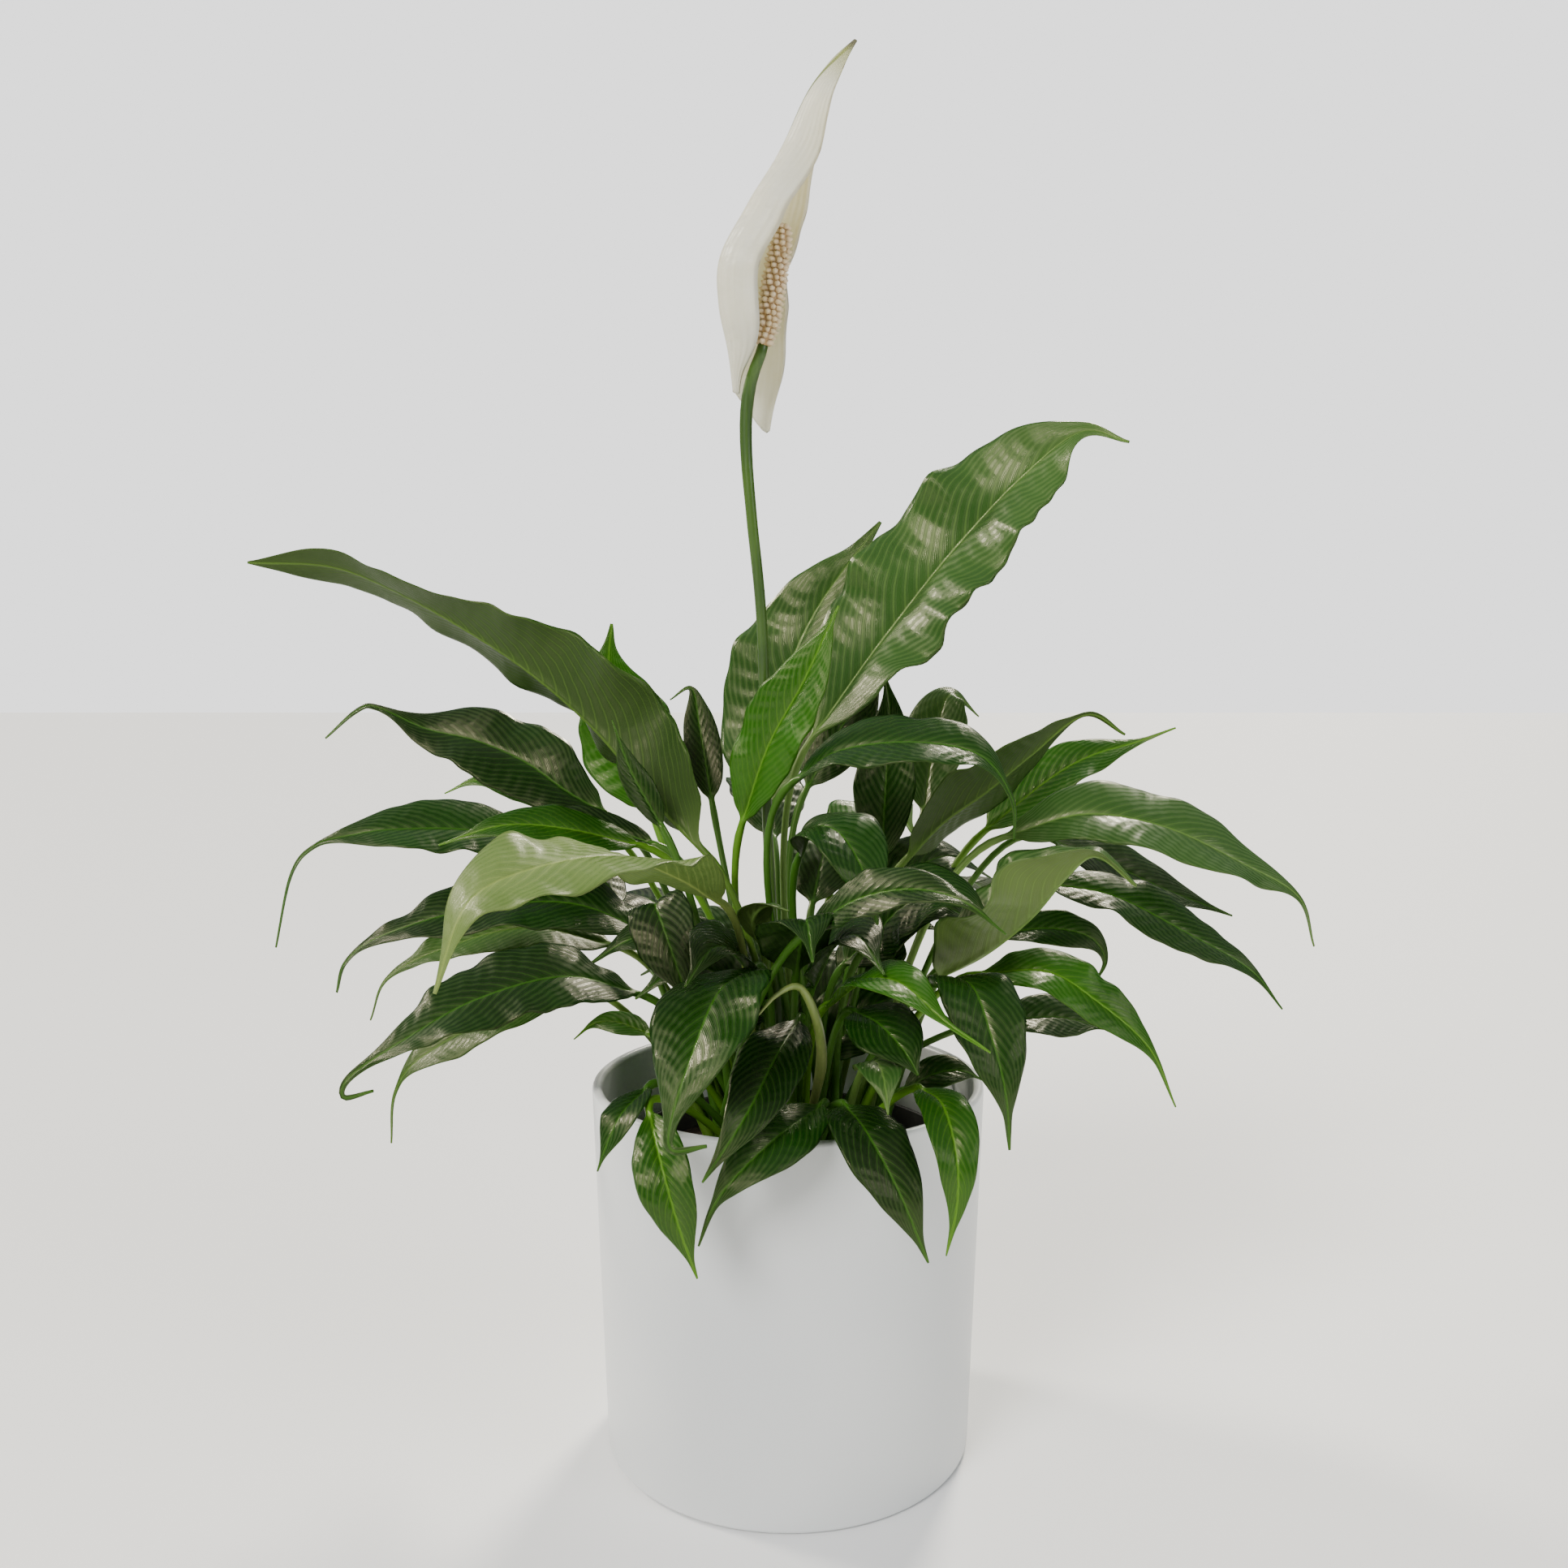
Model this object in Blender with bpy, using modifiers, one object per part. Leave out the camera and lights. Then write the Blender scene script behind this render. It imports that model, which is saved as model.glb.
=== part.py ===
"""Potted peace lily: a white cachepot, the grow pot and potting mix inside it,
one flower, and a round head of arching leaves that each rise from the crown.

Frame: metres, +Z up, origin under the centre of the pot's flat base, +Y to the
back of the plant.  The tables below are in millimetres and are scaled by MM.
"""

import math

import bmesh
import bpy
import numpy as np
from mathutils import Vector

MM = 0.001
TABLE_LEVEL = Vector((0.0, 0.0, 6.0))  # heights in the tables of points start 6 mm under the pot
GAP = 0.4                  # clearance kept between touching pieces

# Cachepot: a slightly tapered straight-walled pot with a soft rim.
POT_HEIGHT = 146.0
POT_RIM_RADIUS = 77.5
POT_BASE_RADIUS = 72.5     # flat part of the underside
POT_FOOT_ROUND = 3.0
POT_WALL = 4.0
POT_FLOOR = 5.0
POT_STEPS = 40

# Grow pot that stands inside it, and the mix that fills the grow pot.
GROW_TOP_Z = 120.0
GROW_TOP_RADIUS = 67.0
GROW_BASE_RADIUS = 52.0
GROW_WALL = 1.6
GROW_LIP = 4.0
MIX_TOP_Z = 108.0
MIX_CROWN_RISE = 5.0
GROW_STEPS = 28

# Leaves: a round stalk that flattens into a lens-shaped blade.
PETIOLE_RINGS = 3
BLADE_RINGS = 9
PETIOLE_RADIUS = 1.5
BLADE_THICKNESS = 1.0
CROWN_SPREAD = 0.30        # a root's distance from the crown, per blade distance
CROWN_RADIUS = 35.0
GOLDEN_ANGLE = math.radians(137.508)
SPARE_PLACES = 16
STALK_SPACE = 0.5          # free space that a stalk looks for on its way up
PLACING_ROUNDS = 12
CLEARANCE_SAMPLES = 32
CLEARANCE_SECTIONS = 17
ROOT_Z = MIX_TOP_Z + MIX_CROWN_RISE + 1.0
# Blade outline, from its base to where the drip tail starts: place, share of the half width.
OUTLINE = ((0.0, 0.08), (0.06, 0.37), (0.16, 0.70), (0.30, 0.94), (0.44, 1.0), (0.60, 0.92),
           (0.75, 0.68), (0.87, 0.38), (0.95, 0.20), (1.0, 0.11))
TAIL_END_SHARE = 0.03
# A blade's lens-shaped section: share of the half width, share of the thickness.
RING_SHARES = (-1.0, -0.5, 0.0, 0.5, 1.0, 0.5, 0.0, -0.5)
RING_HEIGHTS = (0.0, 0.35, 0.5, 0.35, 0.0, -0.35, -0.5, -0.35)
END_FACES = ((0, 1, 7), (1, 2, 6, 7), (2, 3, 5, 6), (3, 4, 5))

# Directions that a blade's upper surface faces.
FRONT = (0.0, -1.0, 0.25)
FRONT_UP = (0.0, -0.6, 0.8)
FRONT_RIGHT = (0.4, -0.85, 0.35)

# Outlines of the blades that are unlike the others: place along the rib, share of the half width.
OWN_OUTLINES = {
    "right_tall": ((0, 0.06), (0.06, 0.32), (0.14, 0.66), (0.25, 0.90), (0.40, 1.0), (0.55, 0.95), (0.66, 0.86),
                   (0.75, 0.78), (0.82, 0.50), (0.88, 0.20), (0.93, 0.06), (1.0, 0.02)),
    "left_long": ((0, 0.10), (0.06, 0.48), (0.15, 0.86), (0.28, 1.0), (0.42, 0.90), (0.55, 0.68), (0.68, 0.45),
                  (0.80, 0.38), (0.88, 0.33), (0.94, 0.15), (1.0, 0.02)),
}

# name, rib from the blade's base to its tip, half width, faces along the blade,
# fold at the rib (degrees that each half is lifted, one angle or a row along the rib), drip tail's share of the rib,
# fullness (above 1 the blade is widest nearer its tip), look
LEAVES = (
    ("right_tall", ((9, 20, 285), (36, 30, 322), (67, 36, 361), (95, 36, 391), (118, 30, 409), (136, 22, 404)),
     30, ((-0.42, -0.83, 0.37), (-0.45, -0.8, 0.42)), 34, 0.06, 1.0, "pale"),
    ("back_tall", ((-8, 52, 254), (-6, 66, 294), (12, 76, 338), (41, 80, 378)),
     26, ((-0.3, -1, 0.1), (-0.2, -1, 0.2)), 14, 0.08, 1.0, "pale"),
    ("centre_spear", ((-18, -6, 254), (-8, -12, 284), (6, -16, 310), (19, -16, 338)),
     15, ((-0.5, -0.9, 0.2), (-0.4, -0.9, 0.3)), 22, 0.08, 1.1, "bright"),
    ("centre_glossy", ((2, -20, 272), (18, -28, 284), (44, -38, 288), (68, -46, 284), (79, -52, 269), (80, -54, 254)),
     16, ((0.1, -0.5, 0.9), (0.1, -0.6, 0.8), (0.5, -0.6, 0.6)), 16, 0.20, 1.2, "dark"),
    ("right_upright", ((38, 16, 236), (40, 22, 270), (42, 30, 296), (40, 34, 312)),
     13, ((-0.3, -0.9, 0.1), (-0.3, -0.9, 0.1)), 26, 0.08, 1.0, "dark"),
    ("right_olive", ((46, -4, 240), (60, 0, 254), (78, 4, 266), (96, 8, 280), (118, 10, 296), (134, 10, 288)),
     18, ((-0.5, 0.7, 0.5), (-0.4, 0.6, 0.7)), 20, 0.20, 1.0, "olive"),
    ("back_pale", ((58, 50, 252), (64, 66, 280), (72, 76, 302), (86, 84, 292)),
     15, ((-0.3, -0.8, 0.5), (-0.2, -0.6, 0.8)), 14, 0.12, 1.2, "pale"),
    ("right_bright", ((80, 20, 248), (106, 26, 268), (124, 28, 278), (144, 28, 284), (158, 24, 290)),
     13, (FRONT_UP, FRONT_UP), 16, 0.15, 1.0, "bright"),
    ("right_long", ((84, 0, 248), (114, -6, 258), (144, -12, 254), (174, -12, 240), (198, -8, 226), (206, -6, 206)),
     18, ((0.1, -0.6, 0.8), (0.5, -0.6, 0.6)), 14, 0.14, 1.0, "pale"),
    ("right_under", ((108, 30, 244), (136, 32, 232), (158, 30, 222), (184, 26, 212)),
     13, (FRONT_UP, FRONT_UP), 14, 0.10, 1.0, "dark"),
    ("right_saddle", ((56, -24, 198), (72, -38, 210), (87, -50, 226), (98, -58, 242), (107, -64, 250), (120, -68, 240)),
     30, ((-0.6, 0.0, 0.8), (-0.3, 0.1, 0.9)), 56, 0.14, 1.2, "olive"),
    ("right_low_long", ((98, -10, 232), (124, -16, 228), (152, -20, 214), (176, -20, 200), (190, -18, 184)),
     14, ((0.2, -0.55, 0.8), (0.4, -0.6, 0.7)), 14, 0.12, 1.0, "dark"),
    ("right_hooked", ((84, 26, 204), (108, 30, 206), (126, 32, 202), (133, 32, 192), (128, 30, 182)),
     9, ((0.1, -0.7, 0.7), (0.3, -0.8, 0.5)), 20, 0.15, 1.1, "dark"),
    ("right_drooping", ((72, -20, 198), (96, -32, 202), (114, -36, 192), (134, -36, 174), (146, -32, 150)),
     12, ((0.2, -0.6, 0.8), (0.4, -0.8, 0.4)), 16, 0.20, 1.0, "bright"),
    ("right_lower_back", ((90, 40, 164), (116, 46, 164), (138, 48, 158)),
     12, (FRONT_UP, FRONT_UP), 16, 0.08, 1.2, "dark"),
    ("front_right_hanging", ((54, -36, 198), (64, -60, 204), (70, -74, 188), (74, -80, 170), (76, -78, 150)),
     15, ((0.1, -0.2, 1), (0.3, -0.9, 0.4), (0.2, -1, 0.2)), 18, 0.15, 1.1, "dark"),
    ("front_right_bright", ((14, -36, 190), (26, -56, 204), (38, -76, 208), (52, -90, 198), (66, -98, 190)),
     12, ((0.1, -0.6, 0.8), (0.3, -0.7, 0.6)), 18, 0.18, 1.0, "bright"),
    ("front_right_dark", ((24, -44, 190), (32, -58, 189), (40, -67, 182), (45, -71, 174)),
     13, (FRONT_UP, FRONT_RIGHT), 18, 0.05, 1.2, "dark"),
    ("front_right_small", ((28, -48, 170), (31, -60, 176), (33, -72, 173), (34, -80, 163)),
     9, (FRONT_UP, FRONT), 20, 0.10, 1.0, "pale"),
    ("rim_right_bright", ((47, -60, 166), (52, -84, 168), (55, -99, 156), (55, -102, 140), (52, -100, 122)),
     9, (FRONT_UP, (0.2, -0.9, 0.4), FRONT), 20, 0.12, 1.0, "bright"),
    ("rim_right", ((20, -60, 160), (26, -88, 160), (36, -100, 144), (46, -101, 120)),
     13, (FRONT_UP, FRONT_RIGHT, FRONT), 18, 0.10, 1.0, "dark"),
    ("rim_centre", ((12, -60, 160), (-4, -88, 158), (-18, -99, 148), (-25, -99, 138), (-30, -97, 124)),
     12, ((-0.2, -0.5, 0.8), (-0.2, -0.9, 0.4), FRONT), 18, 0.20, 0.9, "dark"),
    ("front_centre", ((4, -40, 186), (-4, -66, 180), (-14, -94, 168), (-28, -108, 150)),
     12, (FRONT_UP, FRONT), 18, 0.08, 1.0, "dark"),
    ("front_left_broad", ((-12, -42, 206), (-24, -72, 204), (-32, -96, 188), (-38, -108, 170), (-37, -114, 163),
                          (-26, -116, 165)),
     20, ((-0.3, -0.4, 0.9), (-0.4, -0.9, 0.4), (-0.3, -1, 0.2)), 14, 0.20, 1.1, "dark"),
    ("rim_left_bright", ((-48, -78, 164), (-42, -98, 152), (-36, -104, 134), (-30, -104, 116)),
     10, ((-0.3, -0.7, 0.7), (-0.2, -1, 0.2)), 18, 0.10, 1.1, "bright"),
    ("rim_left_dark", ((-50, -62, 167), (-58, -80, 162), (-65, -85, 145)),
     8, ((-0.4, -0.5, 0.8), (-0.6, -0.8, 0.3)), 18, 0.10, 1.0, "dark"),
    ("left_small", ((-54, -10, 172), (-68, 0, 174), (-78, 4, 172), (-86, 4, 166)),
     6, (FRONT_UP, FRONT_UP), 20, 0.15, 1.0, "bright"),
    ("left_low_broad", ((-56, -20, 190), (-82, -36, 201), (-112, -50, 196), (-136, -62, 184), (-153, -68, 173),
                        (-155, -70, 166), (-145, -69, 168)),
     18, ((-0.1, -0.5, 0.9), (-0.4, -0.7, 0.7), (-0.7, -0.7, 0.3), (-0.3, -1, 0.1)), 12, 0.20, 1.1, "dark"),
    ("left_low_hidden", ((-88, 10, 184), (-120, 4, 174), (-146, -2, 160), (-156, -4, 146), (-158, -4, 126)),
     13, ((-0.3, -0.5, 0.8), (-0.7, -0.7, 0.2)), 16, 0.25, 1.1, "olive"),
    ("left_mid_broad", ((-52, 4, 208), (-86, 0, 222), (-124, -10, 221), (-156, -16, 212), (-170, -16, 202),
                        (-174, -16, 190)),
     18, ((-0.1, -0.5, 0.9), (-0.4, -0.6, 0.7)), 14, 0.15, 1.0, "dark"),
    ("left_mid_back", ((-72, 32, 198), (-108, 32, 206), (-142, 30, 198), (-166, 26, 186), (-174, 26, 168)),
     15, ((-0.2, -0.4, 0.9), (-0.6, -0.5, 0.6)), 16, 0.18, 1.0, "olive"),
    ("front_left_rolled", ((-24, -44, 230), (-38, -70, 244), (-56, -92, 254), (-80, -112, 253), (-98, -124, 244),
                           (-107, -132, 218)),
     24, ((0.2, 0.8, 0.6), (0.1, 0.5, 0.8), (-0.2, -0.4, 0.9), (-0.4, -0.7, 0.6), (-0.6, -0.8, 0.2)),
     8, 0.10, 1.3, "pale"),
    ("left_arched", ((-96, 20, 241), (-128, 16, 249), (-158, 10, 250), (-174, 8, 248), (-188, 6, 244), (-198, 6, 232),
                     (-205, 6, 203)),
     16, ((-0.1, -0.5, 0.9), (-0.3, -0.6, 0.7), (-0.6, -0.6, 0.5)), 18, 0.36, 1.1, "dark"),
    ("left_dark_inner", ((-54, 24, 242), (-76, 26, 249), (-98, 31, 252), (-122, 37, 250)),
     9, (FRONT_UP, FRONT_UP), 16, 0.10, 1.0, "dark"),
    ("left_lime", ((-58, 6, 244), (-86, -4, 252), (-110, -10, 254), (-134, -14, 247)),
     11, (FRONT_UP, FRONT_UP), 16, 0.10, 1.0, "bright"),
    ("left_glossy", ((-76, 44, 252), (-94, 46, 262), (-112, 50, 274), (-134, 54, 283), (-156, 56, 288),
                     (-176, 55, 297), (-184, 54, 296), (-198, 53, 284)),
     19, ((-0.1, -0.7, 0.7), (-0.2, -0.7, 0.7)), 14, 0.24, 1.1, "dark"),
    ("back_left_tip", ((-92, 84, 248), (-120, 92, 258), (-142, 96, 262), (-158, 96, 256)),
     9, (FRONT_UP, FRONT_UP), 16, 0.10, 1.0, "bright"),
    ("left_long", ((-32, -12, 244), (-50, -3, 261), (-76, 8, 290), (-104, 18, 313), (-134, 24, 332),
                   (-162, 24, 347), (-184, 20, 355), (-214, 14, 356)),
     29, ((0.15, 0.7, 0.7), (0.15, 0.7, 0.7), (0.1, 0.65, 0.75), (0.0, 0.45, 0.9), (0.0, 0.85, 0.5)),
     (44, 44, 30, -4, 8), 0.10, 1.0, "olive"),
    ("back_left_bright", ((-58, 50, 252), (-70, 60, 286), (-77, 62, 314), (-76, 62, 333)),
     21, ((0.1, -1, 0.2), (0.0, -1, 0.3)), 14, 0.10, 1.0, "bright"),
    ("back_sprig", ((-34, 80, 254), (-40, 92, 286), (-44, 97, 304), (-54, 98, 299)),
     9, ((0.1, -1, 0.3), (0.1, -0.8, 0.6)), 16, 0.15, 1.0, "dark"),
    ("left_narrow", ((-48, -16, 254), (-60, -16, 276), (-67, -14, 295)),
     6, ((0.3, -0.9, 0.2), (0.3, -0.9, 0.3)), 22, 0.15, 1.0, "dark"),
    ("centre_dark", ((4, -24, 244), (9, -34, 256), (18, -46, 256), (26, -58, 244), (31, -65, 226)),
     15, ((-0.1, -0.6, 0.8), (0.2, -0.5, 0.9), (0.2, -0.9, 0.3)), 18, 0.06, 1.1, "dark"),
    ("centre_low", ((6, -60, 222), (22, -74, 236), (40, -86, 242), (56, -96, 240), (70, -102, 230)),
     10, ((0.0, -0.7, 0.7), (0.3, -0.7, 0.6)), 18, 0.15, 1.1, "dark"),
    ("back_streaked", ((8, 38, 264), (22, 48, 288), (42, 56, 314)),
     14, ((-0.1, -0.9, 0.4), (-0.1, -0.9, 0.4)), 14, 0.08, 1.1, "dark"),
    ("inner_low", ((44, -24, 154), (56, -26, 161), (66, -26, 162), (74, -24, 158)),
     8, (FRONT_UP, FRONT_UP), 16, 0.10, 1.1, "dark"),
    ("centre_shade", ((22, 10, 186), (34, 12, 202), (46, 12, 212), (60, 8, 210)),
     15, ((0.0, -0.6, 0.8), (0.3, -0.5, 0.8)), 14, 0.05, 1.1, "dark"),
    ("centre_curled", ((-10, -22, 210), (-13, -30, 221), (-8, -38, 228), (0, -44, 227)),
     7, ((0.2, 0.6, 0.8), (0.1, -0.2, 1)), 24, 0.08, 1.0, "pale"),
    ("left_shade", ((-50, -12, 222), (-50, -26, 226), (-44, -38, 214), (-36, -48, 194)),
     13, ((-0.3, -0.6, 0.8), (-0.2, -1, 0.2)), 18, 0.05, 1.1, "dark"),
    ("back_high", ((-6, 84, 236), (-10, 112, 256), (-14, 142, 256), (-16, 172, 232)),
     19, ((0, 0.1, 1), (0, 0.6, 0.8)), 14, 0.14, 1.0, "dark"),
    ("back_right_low", ((50, 66, 204), (70, 92, 216), (92, 118, 210), (108, 136, 186)),
     18, ((0.1, 0.1, 1), (0.5, 0.6, 0.7)), 14, 0.14, 1.0, "dark"),
    ("back_right_high", ((22, 72, 222), (36, 100, 246), (52, 128, 246), (66, 150, 226)),
     18, ((0.1, 0.1, 1), (0.3, 0.6, 0.8)), 14, 0.14, 1.0, "bright"),
    ("back_left_low", ((-46, 68, 196), (-66, 94, 208), (-90, 120, 200), (-108, 140, 174)),
     18, ((-0.1, 0.1, 1), (-0.5, 0.6, 0.7)), 14, 0.14, 1.0, "dark"),
    ("back_left_wide", ((-72, 60, 210), (-98, 86, 224), (-126, 106, 222), (-148, 120, 200)),
     17, ((-0.1, 0.1, 1), (-0.5, 0.5, 0.7)), 14, 0.14, 1.0, "dark"),
)

LOOKS = {
    "dark": (0.020, 0.085, 0.010),
    "bright": (0.110, 0.280, 0.020),
    "olive": (0.120, 0.190, 0.045),
    "pale": (0.210, 0.300, 0.150),
}
LEAF_ROUGHNESS = 0.32

# Flower: a stalk with a bent green end, the spadix on it, and the white hood.
STALK_ROUTE = ((-1, 0, 121), (-4, 1, 180), (-8, 2, 250), (-10, 0, 328), (-14, -1, 372), (-16, 0, 396),
               (-16, 0, 412), (-14, -1, 424), (-10, -4, 434))
STALK_RADIUS = 1.9
STALK_SMOOTH_POINTS = 22
SPADIX_BASE = (-9.4, -4.0, 435.6)
SPADIX_TIP = (-1.5, -5.0, 480.0)
SPADIX_RADIUS = 4.9
SPATHE_RIB = ((-21, 6, 421), (-22.5, 4.5, 437), (-25, 2, 453), (-24.5, 0, 468), (-15.5, -1, 486), (-2, -3, 509),
              (9, -5, 530), (25, -3, 547))
SPATHE_HALF_WIDTH = 30.0
SPATHE_FACES = ((0.9, -0.45, 0.1), (0.87, -0.5, -0.05), (0.9, -0.35, -0.3), (0.85, 0.25, -0.4), (0.5, 0.8, -0.3))
SPATHE_FOLD = 8.0          # degrees at the rib
SPATHE_CURL = 112.0        # degrees that each half turns on its way to the margin
SPATHE_RINGS = 15
SPATHE_OUTLINE = ((0.0, 0.58), (0.10, 0.80), (0.22, 0.98), (0.34, 1.0), (0.50, 0.86),
                  (0.66, 0.60), (0.80, 0.40), (0.92, 0.18), (1.0, 0.06))
SPATHE_NEAR_SHARE = 0.3    # the near half's width at the base, against the far half's
SPATHE_NEAR_RUN = 0.2      # where both halves have the same width again
SPATHE_FLAT_RUN = 0.3      # the halves uncurl over this last part, to the tip
SPATHE_LOBE_DROP = 20.0    # how far the lobes at its base hang below the rib
SPATHE_LOBE_RUN = 0.3
NEW_LEAF_ROUTE = ((5, -16, 122), (9, -34, 150), (12, -48, 172), (10, -57, 190), (4, -62, 203), (-4, -68, 202),
                  (-11, -72, 195))
NEW_LEAF_RADIUS = 2.2


def clear_scene():
    """Remove whatever the scene starts with."""
    for obj in list(bpy.data.objects):
        bpy.data.objects.remove(obj, do_unlink=True)


def make_collection(name):
    collection = bpy.data.collections.new(name)
    bpy.context.scene.collection.children.link(collection)
    return collection


def make_material(name, colour, roughness, metallic=0.0):
    material = bpy.data.materials.new(name)
    material.use_nodes = True
    shader = material.node_tree.nodes["Principled BSDF"]
    shader.inputs["Base Color"].default_value = (*colour, 1.0)
    shader.inputs["Roughness"].default_value = roughness
    shader.inputs["Metallic"].default_value = metallic
    material.diffuse_color = (*colour, 1.0)
    return material


def add_object(collection, name, data, material):
    data.materials.append(material)
    obj = bpy.data.objects.new(name, data)
    collection.objects.link(obj)
    return obj


def smoothstep(value):
    value = min(max(value, 0.0), 1.0)
    return value * value * (3.0 - 2.0 * value)


def table_value(table, position):
    """Read a table of (position, value) pairs with eased steps between them."""
    for (x0, v0), (x1, v1) in zip(table, table[1:]):
        if position <= x1:
            return v0 + (v1 - v0) * (position - x0) / (x1 - x0)
    return table[-1][1]


def blend_vectors(vectors, position):
    """A direction read along a short list of directions spread evenly over 0..1."""
    scaled = min(max(position, 0.0), 1.0) * (len(vectors) - 1)
    first = min(int(scaled), len(vectors) - 2)
    return Vector(vectors[first]).lerp(Vector(vectors[first + 1]), smoothstep(scaled - first))


def smooth_curve(points, count):
    """A Catmull-Rom curve through a table's points, sampled at equal lengths."""
    points = [Vector(p) - TABLE_LEVEL for p in points]
    padded = [2 * points[0] - points[1]] + points + [2 * points[-1] - points[-2]]
    dense = []
    for p0, p1, p2, p3 in zip(padded, padded[1:], padded[2:], padded[3:]):
        for step in range(24):
            t = step / 24
            dense.append(0.5 * (2 * p1 + (p2 - p0) * t + (2 * p0 - 5 * p1 + 4 * p2 - p3) * t * t
                                + (3 * p1 - p0 - 3 * p2 + p3) * t ** 3))
    dense.append(points[-1])
    lengths = [0.0]
    for a, b in zip(dense, dense[1:]):
        lengths.append(lengths[-1] + (b - a).length)
    samples = []
    index = 0
    for step in range(count):
        wanted = lengths[-1] * step / (count - 1)
        while index < len(dense) - 2 and lengths[index + 1] < wanted:
            index += 1
        share = (wanted - lengths[index]) / (lengths[index + 1] - lengths[index])
        samples.append(dense[index].lerp(dense[index + 1], share))
    return samples


def tangents(points):
    last = len(points) - 1
    return [(points[min(i + 1, last)] - points[max(i - 1, 0)]).normalized() for i in range(len(points))]


def petiole_curve(root, base, direction, count):
    """A stalk that leaves the crown upright and meets the blade along its rib."""
    reach = (base - root).length
    outward = Vector((base.x - root.x, base.y - root.y, 0.0)) * 0.5
    start = outward + Vector((0.0, 0.0, reach))
    end = direction * reach * 0.7
    points = []
    for step in range(count):
        t = step / count
        points.append(root * (2 * t ** 3 - 3 * t * t + 1) + start * (t ** 3 - 2 * t * t + t)
                      + base * (3 * t * t - 2 * t ** 3) + end * (t ** 3 - t * t))
    return points


def crown_places():
    """Places for the stalks on the crown, in a sunflower pattern, clear of the flower and the new leaf."""
    taken = [Vector(route[0]) for route in (STALK_ROUTE, NEW_LEAF_ROUTE)]
    total = len(LEAVES) + len(taken) + SPARE_PLACES
    places = []
    for index in range(total):
        radius = CROWN_RADIUS * math.sqrt((index + 0.5) / total)
        angle = index * GOLDEN_ANGLE
        places.append(Vector((radius * math.cos(angle), radius * math.sin(angle), ROOT_Z)))
    for point in taken:
        places.remove(min(places, key=lambda place: (place - point).length))
    return places


def stalk_clearance(samples, stalks, blades):
    """The least free space between a stalk and the stalks and blades round it."""
    points = np.array([tuple(point) for point in samples])
    least = np.linalg.norm(points[:, None] - stalks[None], axis=2).min() - 2 * PETIOLE_RADIUS
    offset = points[:, None] - blades["point"][None]
    along = np.abs((offset * blades["tangent"]).sum(2))
    beside = np.abs((offset * blades["side"]).sum(2))
    above = (offset * blades["normal"]).sum(2) - beside * blades["lift"]
    outside = np.maximum(along - blades["step"] / 2, beside - blades["width"])
    space = np.maximum(outside, np.abs(above)) - PETIOLE_RADIUS - BLADE_THICKNESS / 2
    return min(least, space.min())


def blade_table(leaves):
    """Blade cross-sections of all the leaves, as arrays that stalk_clearance reads."""
    rows = {key: [] for key in ("owner", "point", "tangent", "side", "normal", "width", "lift", "step")}
    for name, rib, half_width, faces, fold_degrees, tail, fullness, look in leaves:
        frames = blade_frames(rib, faces, CLEARANCE_SECTIONS)
        step = (frames[1][0] - frames[0][0]).length
        for index, (point, tangent, side, normal) in enumerate(frames[1:], 1):
            share = blade_share(name, index / (CLEARANCE_SECTIONS - 1), tail, fullness)
            for key, value in (("owner", name), ("point", tuple(point)), ("tangent", tuple(tangent)),
                               ("side", tuple(side)), ("normal", tuple(normal)), ("step", step),
                               ("width", half_width * share),
                               ("lift", 0.7 * math.tan(fold_at(fold_degrees, 0.0)))):
                rows[key].append(value)
    return {key: np.array(values) for key, values in rows.items()}


def place_stalks(leaves, table):
    """Give each leaf the nearest free crown place from which its stalk clears the others."""
    places = crown_places()
    stalks = [tuple(point) for route in (STALK_ROUTE, NEW_LEAF_ROUTE) for point in smooth_curve(route, 90)]
    roots = {}
    crowded = []
    for leaf in leaves:
        name, rib = leaf[:2]
        others = table["owner"] != name
        blades = {key: values[others] for key, values in table.items()}
        wanted = Vector((rib[0][0], rib[0][1], 0.0)) * CROWN_SPREAD
        if wanted.length > CROWN_RADIUS:
            wanted *= CROWN_RADIUS / wanted.length
        wanted.z = ROOT_Z
        start = smooth_curve(rib, BLADE_RINGS)
        direction = (start[1] - start[0]).normalized()
        best = None
        for place in sorted(places, key=lambda place: (place - wanted).length):
            samples = petiole_curve(place, start[0], direction, CLEARANCE_SAMPLES)
            space = stalk_clearance(samples, np.array(stalks), blades)
            if best is None or space > best[0]:
                best = (space, place, samples)
            if space > STALK_SPACE:
                break
        if best[0] <= STALK_SPACE:
            crowded.append(leaf)
        places.remove(best[1])
        stalks += [tuple(point) for point in best[2]]
        roots[name] = best[1]
    return roots, crowded


def choose_roots():
    """Place the stalks in the table's order, and again with any that found no room put first."""
    table = blade_table(LEAVES)
    order = list(LEAVES)
    for attempt in range(PLACING_ROUNDS):
        roots, crowded = place_stalks(order, table)
        if not crowded:
            break
        order = crowded + [leaf for leaf in order if leaf not in crowded]
    return roots


def blade_share(name, along, tail, fullness):
    """Share of a blade's half width at a place along its rib."""
    if name in OWN_OUTLINES:
        return table_value(OWN_OUTLINES[name], along)
    if along > 1.0 - tail:
        run = (along - 1.0 + tail) / tail
        return OUTLINE[-1][1] + (TAIL_END_SHARE - OUTLINE[-1][1]) * run
    return table_value(OUTLINE, (along / (1.0 - tail)) ** fullness)


def fold_at(fold_degrees, along):
    """The fold at a place along the rib, from one angle or a row of them."""
    if isinstance(fold_degrees, tuple):
        steps = len(fold_degrees) - 1
        table = tuple((index / steps, degrees) for index, degrees in enumerate(fold_degrees))
        return math.radians(table_value(table, along))
    return math.radians(fold_degrees)


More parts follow.
